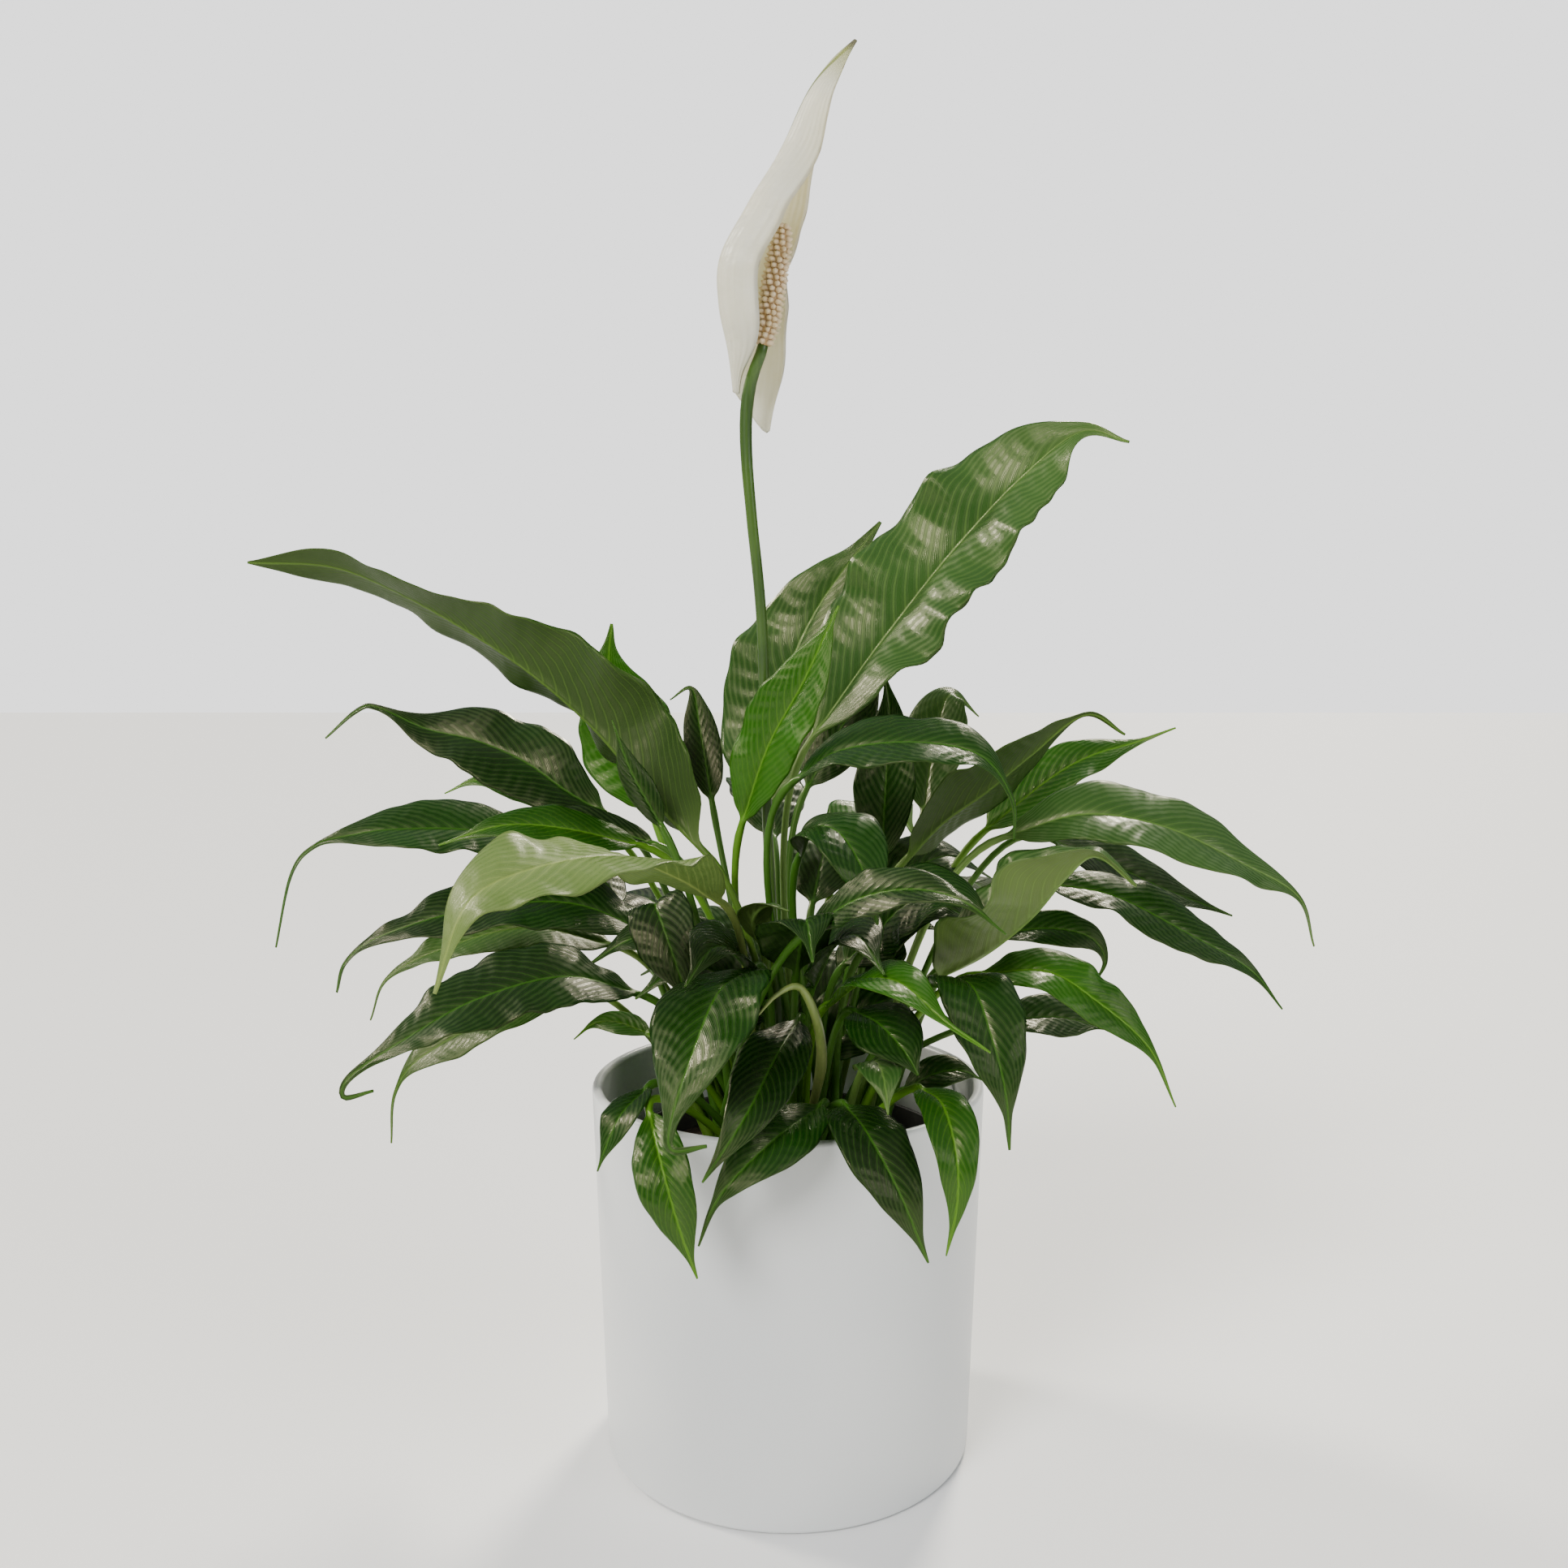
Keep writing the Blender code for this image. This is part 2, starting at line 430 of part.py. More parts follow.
def across(fold, curl, share):
    """Offset of a blade's half at a share of its width: out along the side, and up."""
    if abs(curl) < 1e-4:
        return share * math.cos(fold), share * math.sin(fold)
    turned = fold + curl * share
    return (math.sin(turned) - math.sin(fold)) / curl, (math.cos(fold) - math.cos(turned)) / curl


def blade_ring(centre, side, normal, half_width, thickness, fold, curl):
    """A closed lens of eight points: four on top of the rib line, four beneath."""
    ring = []
    for share, height in zip(RING_SHARES, RING_HEIGHTS):
        out, up = across(fold, curl, abs(share))
        lean = fold + curl * abs(share) if share else 0.0
        beside = out * half_width - math.sin(lean) * height * thickness
        above = up * half_width + math.cos(lean) * height * thickness
        ring.append(centre + side * math.copysign(beside, share) + normal * above)
    return ring


def round_ring(centre, side, normal, radius):
    """Eight points round a stalk, in the same order as blade_ring."""
    ring = []
    for step in range(8):
        angle = math.pi - step * math.pi / 4
        ring.append(centre + (side * math.cos(angle) + normal * math.sin(angle)) * radius)
    return ring


def loft(name, rings):
    """A closed mesh through rings of eight points, with each end filled across its lens.

    Each quad is split along the same diagonal as its partner on the sheet's other side,
    so the two sides of a thin twisted sheet stay apart.
    """
    mesh = bmesh.new()
    rows = [[mesh.verts.new(point * MM) for point in ring] for ring in rings]
    count = len(rows[0])
    for lower, upper in zip(rows, rows[1:]):
        for i in range(count):
            j = (i + 1) % count
            if i // 2 % 2 == 0:
                mesh.faces.new((lower[i], lower[j], upper[j]))
                mesh.faces.new((lower[i], upper[j], upper[i]))
            else:
                mesh.faces.new((lower[i], lower[j], upper[i]))
                mesh.faces.new((lower[j], upper[j], upper[i]))
    for row in (rows[0], rows[-1]):
        for corners in END_FACES:
            mesh.faces.new([row[corner] for corner in corners])
    bmesh.ops.recalc_face_normals(mesh, faces=mesh.faces)
    if mesh.calc_volume(signed=True) < 0:
        bmesh.ops.reverse_faces(mesh, faces=mesh.faces)
    data = bpy.data.meshes.new(name)
    mesh.to_mesh(data)
    mesh.free()
    data.shade_smooth()
    return data


def blade_frames(rib, faces, count):
    """Point, rib direction, side and upper normal at even steps along a blade."""
    points = smooth_curve(rib, count)
    frames = []
    for index, (point, tangent) in enumerate(zip(points, tangents(points))):
        hint = blend_vectors(faces, index / (count - 1))
        normal = (hint - tangent * hint.dot(tangent)).normalized()
        frames.append((point, tangent, tangent.cross(normal), normal))
    return frames


def make_leaf(collection, root, name, rib, half_width, faces, fold_degrees, tail, fullness, look):
    """One leaf: its stalk from the crown and its blade, as one closed piece."""
    frames = blade_frames(rib, faces, BLADE_RINGS)
    base, direction, side, normal = frames[0]
    stalk = petiole_curve(root, base, direction, PETIOLE_RINGS)
    rings = [round_ring(base, side, normal, PETIOLE_RADIUS)]
    for point, tangent in reversed(list(zip(stalk, tangents(stalk + [base])))):
        side = (side - tangent * side.dot(tangent)).normalized()
        rings.insert(0, round_ring(point, side, side.cross(tangent), PETIOLE_RADIUS))
    for index, (point, tangent, side, normal) in enumerate(frames[1:], 1):
        along = index / (BLADE_RINGS - 1)
        width = half_width * blade_share(name, along, tail, fullness)
        fold = fold_at(fold_degrees, along)
        curl = -1.6 * fold * (1.0 - abs(fold) / math.radians(60.0))
        thickness = BLADE_THICKNESS * (1.3 - 0.8 * along)
        rings.append(blade_ring(point, side, normal, width, thickness, fold, curl))
    colour = LOOKS[look]
    material = make_material("leaf_" + name, colour, LEAF_ROUGHNESS)
    return add_object(collection, "leaf_" + name, loft("leaf_" + name, rings), material)


def make_spathe(collection):
    """The flower's white hood, a blade whose halves curl round the spadix."""
    points = smooth_curve(SPATHE_RIB, SPATHE_RINGS)
    directions = tangents(points)
    rings = []
    for index, (point, tangent) in enumerate(zip(points, directions)):
        along = index / (SPATHE_RINGS - 1)
        hint = blend_vectors(SPATHE_FACES, along)
        normal = (hint - tangent * hint.dot(tangent)).normalized()
        side = tangent.cross(normal)
        width = SPATHE_HALF_WIDTH * table_value(SPATHE_OUTLINE, along)
        curl = math.radians(SPATHE_CURL) * min(1.0, (1.0 - along) / SPATHE_FLAT_RUN)
        thickness = min(BLADE_THICKNESS, width * 0.5)
        ring = blade_ring(point, side, normal, width, thickness, math.radians(SPATHE_FOLD), curl)
        near = SPATHE_NEAR_SHARE + (1.0 - SPATHE_NEAR_SHARE) * min(1.0, along / SPATHE_NEAR_RUN)
        drop = SPATHE_LOBE_DROP * max(0.0, 1.0 - along / SPATHE_LOBE_RUN) ** 1.5
        shaped = []
        for spot, share in zip(ring, RING_SHARES):
            scale = near if share < 0 else 1.0
            shaped.append(point + (spot - point) * scale - tangent * drop * scale ** 2 * abs(share) ** 1.5)
        rings.append(shaped)
    material = make_material("spathe", (0.83, 0.82, 0.70), 0.45)
    return add_object(collection, "spathe", loft("spathe", rings), material)


def make_tube(collection, name, route, radius, count, material, tip_share=1.0):
    """A round stalk along a smooth route, as a curve with a filled bevel."""
    curve = bpy.data.curves.new(name, "CURVE")
    curve.dimensions = "3D"
    curve.bevel_depth = radius * MM
    curve.bevel_resolution = 2
    curve.use_fill_caps = True
    spline = curve.splines.new("POLY")
    points = smooth_curve(route, count)
    spline.points.add(count - 1)
    for index, point in enumerate(points):
        spline.points[index].co = (*(point * MM), 1.0)
        spline.points[index].radius = 1.0 + (tip_share - 1.0) * index / (count - 1)
    return add_object(collection, name, curve, material)


def make_turned(collection, name, profile, steps, material):
    """A turned piece: a profile in the XZ plane swept round the Z axis."""
    data = bpy.data.meshes.new(name)
    vertices = [(radius * MM, 0.0, height * MM) for radius, height in profile]
    data.from_pydata(vertices, [(i, i + 1) for i in range(len(vertices) - 1)], [])
    obj = add_object(collection, name, data, material)
    screw = obj.modifiers.new("Turn", "SCREW")
    screw.steps = steps
    screw.render_steps = steps
    screw.use_merge_vertices = True
    screw.merge_threshold = 0.00001
    screw.use_smooth_shade = True
    return obj


def arc(centre_radius, centre_height, radius, start, end, steps):
    """Points of an arc in a profile, between two angles in degrees."""
    points = []
    for step in range(steps + 1):
        angle = math.radians(start + (end - start) * step / steps)
        points.append((centre_radius + radius * math.cos(angle), centre_height + radius * math.sin(angle)))
    return points


def make_pot(collection):
    """White cachepot: flat base, tapered wall, rounded rim, open top."""
    lip = POT_WALL / 2
    profile = [(0.0, POT_FLOOR), (POT_BASE_RADIUS - POT_WALL, POT_FLOOR)]
    profile += list(reversed(arc(POT_RIM_RADIUS - lip, POT_HEIGHT - lip, lip, 0, 180, 4)))
    profile += arc(POT_BASE_RADIUS, POT_FOOT_ROUND, POT_FOOT_ROUND, 0, -90, 3)
    profile += [(0.0, 0.0)]
    material = make_material("pot", (0.83, 0.84, 0.84), 0.28)
    return make_turned(collection, "pot", profile, POT_STEPS, material)


def make_grow_pot(collection):
    """Thin plastic pot with a rolled lip, standing inside the cachepot."""
    base_z = POT_FLOOR + GAP
    inner_base = GROW_BASE_RADIUS - GROW_WALL
    inner_top = GROW_TOP_RADIUS - GROW_WALL - 1.5
    profile = [(0.0, base_z + GROW_WALL), (inner_base, base_z + GROW_WALL), (inner_top, GROW_TOP_Z),
               (GROW_TOP_RADIUS, GROW_TOP_Z), (GROW_TOP_RADIUS, GROW_TOP_Z - GROW_LIP),
               (GROW_TOP_RADIUS - 1.5, GROW_TOP_Z - GROW_LIP), (GROW_BASE_RADIUS, base_z), (0.0, base_z)]
    material = make_material("grow_pot", (0.045, 0.040, 0.036), 0.55)
    return make_turned(collection, "grow_pot", profile, GROW_STEPS, material)


def make_mix(collection):
    """Potting mix with a low rise at the crown."""
    base_z = POT_FLOOR + 2 * GAP + GROW_WALL
    wall_run = GROW_TOP_Z - POT_FLOOR - GAP - GROW_WALL
    slope = (GROW_TOP_RADIUS - 1.5 - GROW_BASE_RADIUS) / wall_run
    base_radius = GROW_BASE_RADIUS - GROW_WALL - 1.0
    top_radius = base_radius + slope * (MIX_TOP_Z - base_z)
    profile = [(0.0, MIX_TOP_Z + MIX_CROWN_RISE), (CROWN_RADIUS, MIX_TOP_Z + MIX_CROWN_RISE),
               (CROWN_RADIUS + 14.0, MIX_TOP_Z + 1.0), (top_radius, MIX_TOP_Z),
               (base_radius, base_z), (0.0, base_z)]
    material = make_material("potting_mix", (0.035, 0.022, 0.014), 0.9)
    return make_turned(collection, "potting_mix", profile, GROW_STEPS, material)


def make_spadix(collection):
    """Rounded spike on the stalk's end, a stretched sphere."""
    base = Vector(SPADIX_BASE) - TABLE_LEVEL
    tip = Vector(SPADIX_TIP) - TABLE_LEVEL
    middle = (base + tip) / 2 * MM
    mesh = bmesh.new()
    bmesh.ops.create_uvsphere(mesh, u_segments=12, v_segments=10, radius=1.0)
    turn = (tip - base).to_track_quat("Z", "Y").to_matrix()
    for vertex in mesh.verts:
        round_share = math.copysign(abs(vertex.co.z) ** 1.4, vertex.co.z)
        vertex.co.z = round_share * (tip - base).length / 2 * MM
        vertex.co.x *= SPADIX_RADIUS * MM
        vertex.co.y *= SPADIX_RADIUS * MM
        vertex.co = turn @ vertex.co + middle
    data = bpy.data.meshes.new("spadix")
    mesh.to_mesh(data)
    mesh.free()
    data.shade_smooth()
    material = make_material("spadix", (0.62, 0.47, 0.28), 0.6)
    return add_object(collection, "spadix", data, material)


def main():
    clear_scene()
    plant = make_collection("potted_peace_lily")
    make_pot(plant)
    make_grow_pot(plant)
    make_mix(plant)
    stalk_material = make_material("flower_stalk", (0.060, 0.170, 0.020), 0.4)
    make_tube(plant, "flower_stalk", STALK_ROUTE, STALK_RADIUS, STALK_SMOOTH_POINTS, stalk_material)
    make_spathe(plant)
    make_spadix(plant)
    new_leaf_material = make_material("new_leaf", (0.160, 0.300, 0.050), 0.35)
    make_tube(plant, "new_leaf", NEW_LEAF_ROUTE, NEW_LEAF_RADIUS, 14, new_leaf_material, 0.35)
    roots = choose_roots()
    for name, rib, half_width, faces, fold, tail, fullness, look in LEAVES:
        make_leaf(plant, roots[name], name, rib, half_width, faces, fold, tail, fullness, look)


main()
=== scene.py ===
"""Looks of the potted peace lily: every leaf with its veins and waves, the hooded
flower with its knobbly spadix, the white pot and the mix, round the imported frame."""

import math

import bmesh
import bpy
import numpy as np
from mathutils import Matrix, Vector


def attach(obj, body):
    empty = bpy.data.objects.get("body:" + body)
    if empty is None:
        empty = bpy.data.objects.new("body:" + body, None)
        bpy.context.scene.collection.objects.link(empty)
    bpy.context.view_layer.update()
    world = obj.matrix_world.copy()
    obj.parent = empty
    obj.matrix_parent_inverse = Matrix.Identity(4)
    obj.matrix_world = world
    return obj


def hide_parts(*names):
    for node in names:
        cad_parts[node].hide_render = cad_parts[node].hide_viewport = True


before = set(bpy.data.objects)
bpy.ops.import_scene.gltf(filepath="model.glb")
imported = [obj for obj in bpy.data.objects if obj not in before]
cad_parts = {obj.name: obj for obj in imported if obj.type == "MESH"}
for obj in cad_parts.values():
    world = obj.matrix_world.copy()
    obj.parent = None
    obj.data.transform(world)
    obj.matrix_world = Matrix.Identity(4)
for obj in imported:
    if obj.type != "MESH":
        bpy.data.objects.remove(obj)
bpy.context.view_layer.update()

MM = 0.001
TURN = 2.0 * math.pi
TABLE_LEVEL = np.array((0.0, 0.0, 6.0))  # heights in the tables of points start 6 mm under the pot

# The leaf pattern: a closed tube that each leaf's copy is carried into place from.
STALK_BANDS = 20           # bands of the tube on the stalk
BLADE_BANDS = 100          # bands on the blade
BANDS = STALK_BANDS + BLADE_BANDS
ACROSS = (0.0, 0.035, 0.075, 0.13, 0.21, 0.32, 0.44, 0.57, 0.70, 0.82, 0.92, 1.0)
AROUND = 4 * (len(ACROSS) - 1)

STALK_RADIUS = 1.40        # leaf stalk at its thinnest
SHEATH_RADIUS = 2.3        # at the root, where the sheath wraps it
BLADE_THICKNESS = 0.55
MIDRIB_DEPTH = 1.5         # midrib under the blade, at its base
VEIN_SPACING = 3.2         # between side veins along the midrib, plus the next share of the half width
VEIN_WIDER = 0.15
VEIN_RELIEF = 0.26

# Blade outline, from its base to where the drip tail starts: place, share of the half width.
OUTLINE = ((0.0, 0.08), (0.06, 0.37), (0.16, 0.70), (0.30, 0.94), (0.44, 1.0), (0.60, 0.92),
           (0.75, 0.68), (0.87, 0.38), (0.95, 0.20), (1.0, 0.11))
TAIL_END_SHARE = 0.03

# Directions that a blade's upper surface faces.
FRONT = (0.0, -1.0, 0.25)
FRONT_UP = (0.0, -0.6, 0.8)
FRONT_RIGHT = (0.4, -0.85, 0.35)

# Outlines of the blades that are unlike the others: place along the rib, share of the half width.
OWN_OUTLINES = {
    "right_tall": ((0, 0.06), (0.06, 0.32), (0.14, 0.66), (0.25, 0.90), (0.40, 1.0), (0.55, 0.95),
                   (0.66, 0.86),
                   (0.75, 0.78), (0.82, 0.50), (0.88, 0.20), (0.93, 0.06), (1.0, 0.02)),
    "left_long": ((0, 0.10), (0.06, 0.48), (0.15, 0.86), (0.28, 1.0), (0.42, 0.90), (0.55, 0.68),
                  (0.68, 0.45),
                  (0.80, 0.38), (0.88, 0.33), (0.94, 0.15), (1.0, 0.02)),
}

# name, rib from the blade's base to its tip (mm), half width, faces along the blade,
# fold at the rib (degrees that each half is lifted, one angle or a row along the rib),
# drip tail's share of the rib, fullness (above 1 the blade is widest nearer its tip), finish
LEAVES = (
    ("right_tall", ((9, 20, 285), (36, 30, 322), (67, 36, 361), (95, 36, 391), (118, 30, 409),
                    (136, 22, 404)),
     30, ((-0.42, -0.83, 0.37), (-0.45, -0.8, 0.42)), 34, 0.06, 1.0, "pale"),
    ("back_tall", ((-8, 52, 254), (-6, 66, 294), (12, 76, 338), (41, 80, 378)),
     26, ((-0.3, -1, 0.1), (-0.2, -1, 0.2)), 14, 0.08, 1.0, "pale"),
    ("centre_spear", ((-18, -6, 254), (-8, -12, 284), (6, -16, 310), (19, -16, 338)),
     15, ((-0.5, -0.9, 0.2), (-0.4, -0.9, 0.3)), 22, 0.08, 1.1, "bright"),
    ("centre_glossy", ((2, -20, 272), (18, -28, 284), (44, -38, 288), (68, -46, 284), (79, -52, 269),
                       (80, -54, 254)),
     16, ((0.1, -0.5, 0.9), (0.1, -0.6, 0.8), (0.5, -0.6, 0.6)), 16, 0.20, 1.2, "dark"),
    ("right_upright", ((38, 16, 236), (40, 22, 270), (42, 30, 296), (40, 34, 312)),
     13, ((-0.3, -0.9, 0.1), (-0.3, -0.9, 0.1)), 26, 0.08, 1.0, "dark"),
    ("right_olive", ((46, -4, 240), (60, 0, 254), (78, 4, 266), (96, 8, 280), (118, 10, 296),
                     (134, 10, 288)),
     18, ((-0.5, 0.7, 0.5), (-0.4, 0.6, 0.7)), 20, 0.20, 1.0, "olive"),
    ("back_pale", ((58, 50, 252), (64, 66, 280), (72, 76, 302), (86, 84, 292)),
     15, ((-0.3, -0.8, 0.5), (-0.2, -0.6, 0.8)), 14, 0.12, 1.2, "pale"),
    ("right_bright", ((80, 20, 248), (106, 26, 268), (124, 28, 278), (144, 28, 284), (158, 24, 290)),
     13, (FRONT_UP, FRONT_UP), 16, 0.15, 1.0, "bright"),
    ("right_long", ((84, 0, 248), (114, -6, 258), (144, -12, 254), (174, -12, 240), (198, -8, 226),
                    (206, -6, 206)),
     18, ((0.1, -0.6, 0.8), (0.5, -0.6, 0.6)), 14, 0.14, 1.0, "pale"),
    ("right_under", ((108, 30, 244), (136, 32, 232), (158, 30, 222), (184, 26, 212)),
     13, (FRONT_UP, FRONT_UP), 14, 0.10, 1.0, "dark"),
    ("right_saddle", ((56, -24, 198), (72, -38, 210), (87, -50, 226), (98, -58, 242), (107, -64, 250),
                      (120, -68, 240)),
     30, ((-0.6, 0.0, 0.8), (-0.3, 0.1, 0.9)), 56, 0.14, 1.2, "olive"),
    ("right_low_long", ((98, -10, 232), (124, -16, 228), (152, -20, 214), (176, -20, 200), (190, -18, 184)),
     14, ((0.2, -0.55, 0.8), (0.4, -0.6, 0.7)), 14, 0.12, 1.0, "dark"),
    ("right_hooked", ((84, 26, 204), (108, 30, 206), (126, 32, 202), (133, 32, 192), (128, 30, 182)),
     9, ((0.1, -0.7, 0.7), (0.3, -0.8, 0.5)), 20, 0.15, 1.1, "dark"),
    ("right_drooping", ((72, -20, 198), (96, -32, 202), (114, -36, 192), (134, -36, 174), (146, -32, 150)),
     12, ((0.2, -0.6, 0.8), (0.4, -0.8, 0.4)), 16, 0.20, 1.0, "bright"),
    ("right_lower_back", ((90, 40, 164), (116, 46, 164), (138, 48, 158)),
     12, (FRONT_UP, FRONT_UP), 16, 0.08, 1.2, "dark"),
    ("front_right_hanging", ((54, -36, 198), (64, -60, 204), (70, -74, 188), (74, -80, 170),
                             (76, -78, 150)),
     15, ((0.1, -0.2, 1), (0.3, -0.9, 0.4), (0.2, -1, 0.2)), 18, 0.15, 1.1, "dark"),
    ("front_right_bright", ((14, -36, 190), (26, -56, 204), (38, -76, 208), (52, -90, 198), (66, -98, 190)),
     12, ((0.1, -0.6, 0.8), (0.3, -0.7, 0.6)), 18, 0.18, 1.0, "bright"),
    ("front_right_dark", ((24, -44, 190), (32, -58, 189), (40, -67, 182), (45, -71, 174)),
     13, (FRONT_UP, FRONT_RIGHT), 18, 0.05, 1.2, "dark"),
    ("front_right_small", ((28, -48, 170), (31, -60, 176), (33, -72, 173), (34, -80, 163)),
     9, (FRONT_UP, FRONT), 20, 0.10, 1.0, "pale"),
    ("rim_right_bright", ((47, -60, 166), (52, -84, 168), (55, -99, 156), (55, -102, 140), (52, -100, 122)),
     9, (FRONT_UP, (0.2, -0.9, 0.4), FRONT), 20, 0.12, 1.0, "bright"),
    ("rim_right", ((20, -60, 160), (26, -88, 160), (36, -100, 144), (46, -101, 120)),
     13, (FRONT_UP, FRONT_RIGHT, FRONT), 18, 0.10, 1.0, "dark"),
    ("rim_centre", ((12, -60, 160), (-4, -88, 158), (-18, -99, 148), (-25, -99, 138), (-30, -97, 124)),
     12, ((-0.2, -0.5, 0.8), (-0.2, -0.9, 0.4), FRONT), 18, 0.20, 0.9, "dark"),
    ("front_centre", ((4, -40, 186), (-4, -66, 180), (-14, -94, 168), (-28, -108, 150)),
     12, (FRONT_UP, FRONT), 18, 0.08, 1.0, "dark"),
    ("front_left_broad", ((-12, -42, 206), (-24, -72, 204), (-32, -96, 188), (-38, -108, 170),
                          (-37, -114, 163),
                          (-26, -116, 165)),
     20, ((-0.3, -0.4, 0.9), (-0.4, -0.9, 0.4), (-0.3, -1, 0.2)), 14, 0.20, 1.1, "dark"),
    ("rim_left_bright", ((-48, -78, 164), (-42, -98, 152), (-36, -104, 134), (-30, -104, 116)),
     10, ((-0.3, -0.7, 0.7), (-0.2, -1, 0.2)), 18, 0.10, 1.1, "bright"),
    ("rim_left_dark", ((-50, -62, 167), (-58, -80, 162), (-65, -85, 145)),
     8, ((-0.4, -0.5, 0.8), (-0.6, -0.8, 0.3)), 18, 0.10, 1.0, "dark"),
    ("left_small", ((-54, -10, 172), (-68, 0, 174), (-78, 4, 172), (-86, 4, 166)),
     6, (FRONT_UP, FRONT_UP), 20, 0.15, 1.0, "bright"),
    ("left_low_broad", ((-56, -20, 190), (-82, -36, 201), (-112, -50, 196), (-136, -62, 184),
                        (-153, -68, 173),
                        (-155, -70, 166), (-145, -69, 168)),
     18, ((-0.1, -0.5, 0.9), (-0.4, -0.7, 0.7), (-0.7, -0.7, 0.3), (-0.3, -1, 0.1)), 12, 0.20, 1.1, "dark"),
    ("left_low_hidden", ((-88, 10, 184), (-120, 4, 174), (-146, -2, 160), (-156, -4, 146), (-158, -4, 126)),
     13, ((-0.3, -0.5, 0.8), (-0.7, -0.7, 0.2)), 16, 0.25, 1.1, "olive"),
    ("left_mid_broad", ((-52, 4, 208), (-86, 0, 222), (-124, -10, 221), (-156, -16, 212), (-170, -16, 202),
                        (-174, -16, 190)),
     18, ((-0.1, -0.5, 0.9), (-0.4, -0.6, 0.7)), 14, 0.15, 1.0, "dark"),
    ("left_mid_back", ((-72, 32, 198), (-108, 32, 206), (-142, 30, 198), (-166, 26, 186), (-174, 26, 168)),
     15, ((-0.2, -0.4, 0.9), (-0.6, -0.5, 0.6)), 16, 0.18, 1.0, "olive"),
    ("front_left_rolled", ((-24, -44, 230), (-38, -70, 244), (-56, -92, 254), (-80, -112, 253),
                           (-98, -124, 244),
                           (-107, -132, 218)),
     24, ((0.2, 0.8, 0.6), (0.1, 0.5, 0.8), (-0.2, -0.4, 0.9), (-0.4, -0.7, 0.6), (-0.6, -0.8, 0.2)),
     8, 0.10, 1.3, "pale"),
    ("left_arched", ((-96, 20, 241), (-128, 16, 249), (-158, 10, 250), (-174, 8, 248), (-188, 6, 244),
                     (-198, 6, 232),
                     (-205, 6, 203)),
     16, ((-0.1, -0.5, 0.9), (-0.3, -0.6, 0.7), (-0.6, -0.6, 0.5)), 18, 0.36, 1.1, "dark"),
    ("left_dark_inner", ((-54, 24, 242), (-76, 26, 249), (-98, 31, 252), (-122, 37, 250)),
     9, (FRONT_UP, FRONT_UP), 16, 0.10, 1.0, "dark"),
    ("left_lime", ((-58, 6, 244), (-86, -4, 252), (-110, -10, 254), (-134, -14, 247)),
     11, (FRONT_UP, FRONT_UP), 16, 0.10, 1.0, "bright"),
    ("left_glossy", ((-76, 44, 252), (-94, 46, 262), (-112, 50, 274), (-134, 54, 283), (-156, 56, 288),
                     (-176, 55, 297), (-184, 54, 296), (-198, 53, 284)),
     19, ((-0.1, -0.7, 0.7), (-0.2, -0.7, 0.7)), 14, 0.24, 1.1, "dark"),
    ("back_left_tip", ((-92, 84, 248), (-120, 92, 258), (-142, 96, 262), (-158, 96, 256)),
     9, (FRONT_UP, FRONT_UP), 16, 0.10, 1.0, "bright"),
    ("left_long", ((-32, -12, 244), (-50, -3, 261), (-76, 8, 290), (-104, 18, 313), (-134, 24, 332),
                   (-162, 24, 347), (-184, 20, 355), (-214, 14, 356)),
     29, ((0.15, 0.7, 0.7), (0.15, 0.7, 0.7), (0.1, 0.65, 0.75), (0.0, 0.45, 0.9), (0.0, 0.85, 0.5)),
     (44, 44, 30, -4, 8), 0.10, 1.0, "olive"),
    ("back_left_bright", ((-58, 50, 252), (-70, 60, 286), (-77, 62, 314), (-76, 62, 333)),
     21, ((0.1, -1, 0.2), (0.0, -1, 0.3)), 14, 0.10, 1.0, "bright"),
    ("back_sprig", ((-34, 80, 254), (-40, 92, 286), (-44, 97, 304), (-54, 98, 299)),
     9, ((0.1, -1, 0.3), (0.1, -0.8, 0.6)), 16, 0.15, 1.0, "dark"),
    ("left_narrow", ((-48, -16, 254), (-60, -16, 276), (-67, -14, 295)),
     6, ((0.3, -0.9, 0.2), (0.3, -0.9, 0.3)), 22, 0.15, 1.0, "dark"),
    ("centre_dark", ((4, -24, 244), (9, -34, 256), (18, -46, 256), (26, -58, 244), (31, -65, 226)),
     15, ((-0.1, -0.6, 0.8), (0.2, -0.5, 0.9), (0.2, -0.9, 0.3)), 18, 0.06, 1.1, "dark"),
    ("centre_low", ((6, -60, 222), (22, -74, 236), (40, -86, 242), (56, -96, 240), (70, -102, 230)),
     10, ((0.0, -0.7, 0.7), (0.3, -0.7, 0.6)), 18, 0.15, 1.1, "dark"),
    ("back_streaked", ((8, 38, 264), (22, 48, 288), (42, 56, 314)),
     14, ((-0.1, -0.9, 0.4), (-0.1, -0.9, 0.4)), 14, 0.08, 1.1, "dark"),
    ("inner_low", ((44, -24, 154), (56, -26, 161), (66, -26, 162), (74, -24, 158)),
     8, (FRONT_UP, FRONT_UP), 16, 0.10, 1.1, "dark"),
    ("centre_shade", ((22, 10, 186), (34, 12, 202), (46, 12, 212), (60, 8, 210)),
     15, ((0.0, -0.6, 0.8), (0.3, -0.5, 0.8)), 14, 0.05, 1.1, "dark"),
    ("centre_curled", ((-10, -22, 210), (-13, -30, 221), (-8, -38, 228), (0, -44, 227)),
     7, ((0.2, 0.6, 0.8), (0.1, -0.2, 1)), 24, 0.08, 1.0, "pale"),
    ("left_shade", ((-50, -12, 222), (-50, -26, 226), (-44, -38, 214), (-36, -48, 194)),
     13, ((-0.3, -0.6, 0.8), (-0.2, -1, 0.2)), 18, 0.05, 1.1, "dark"),
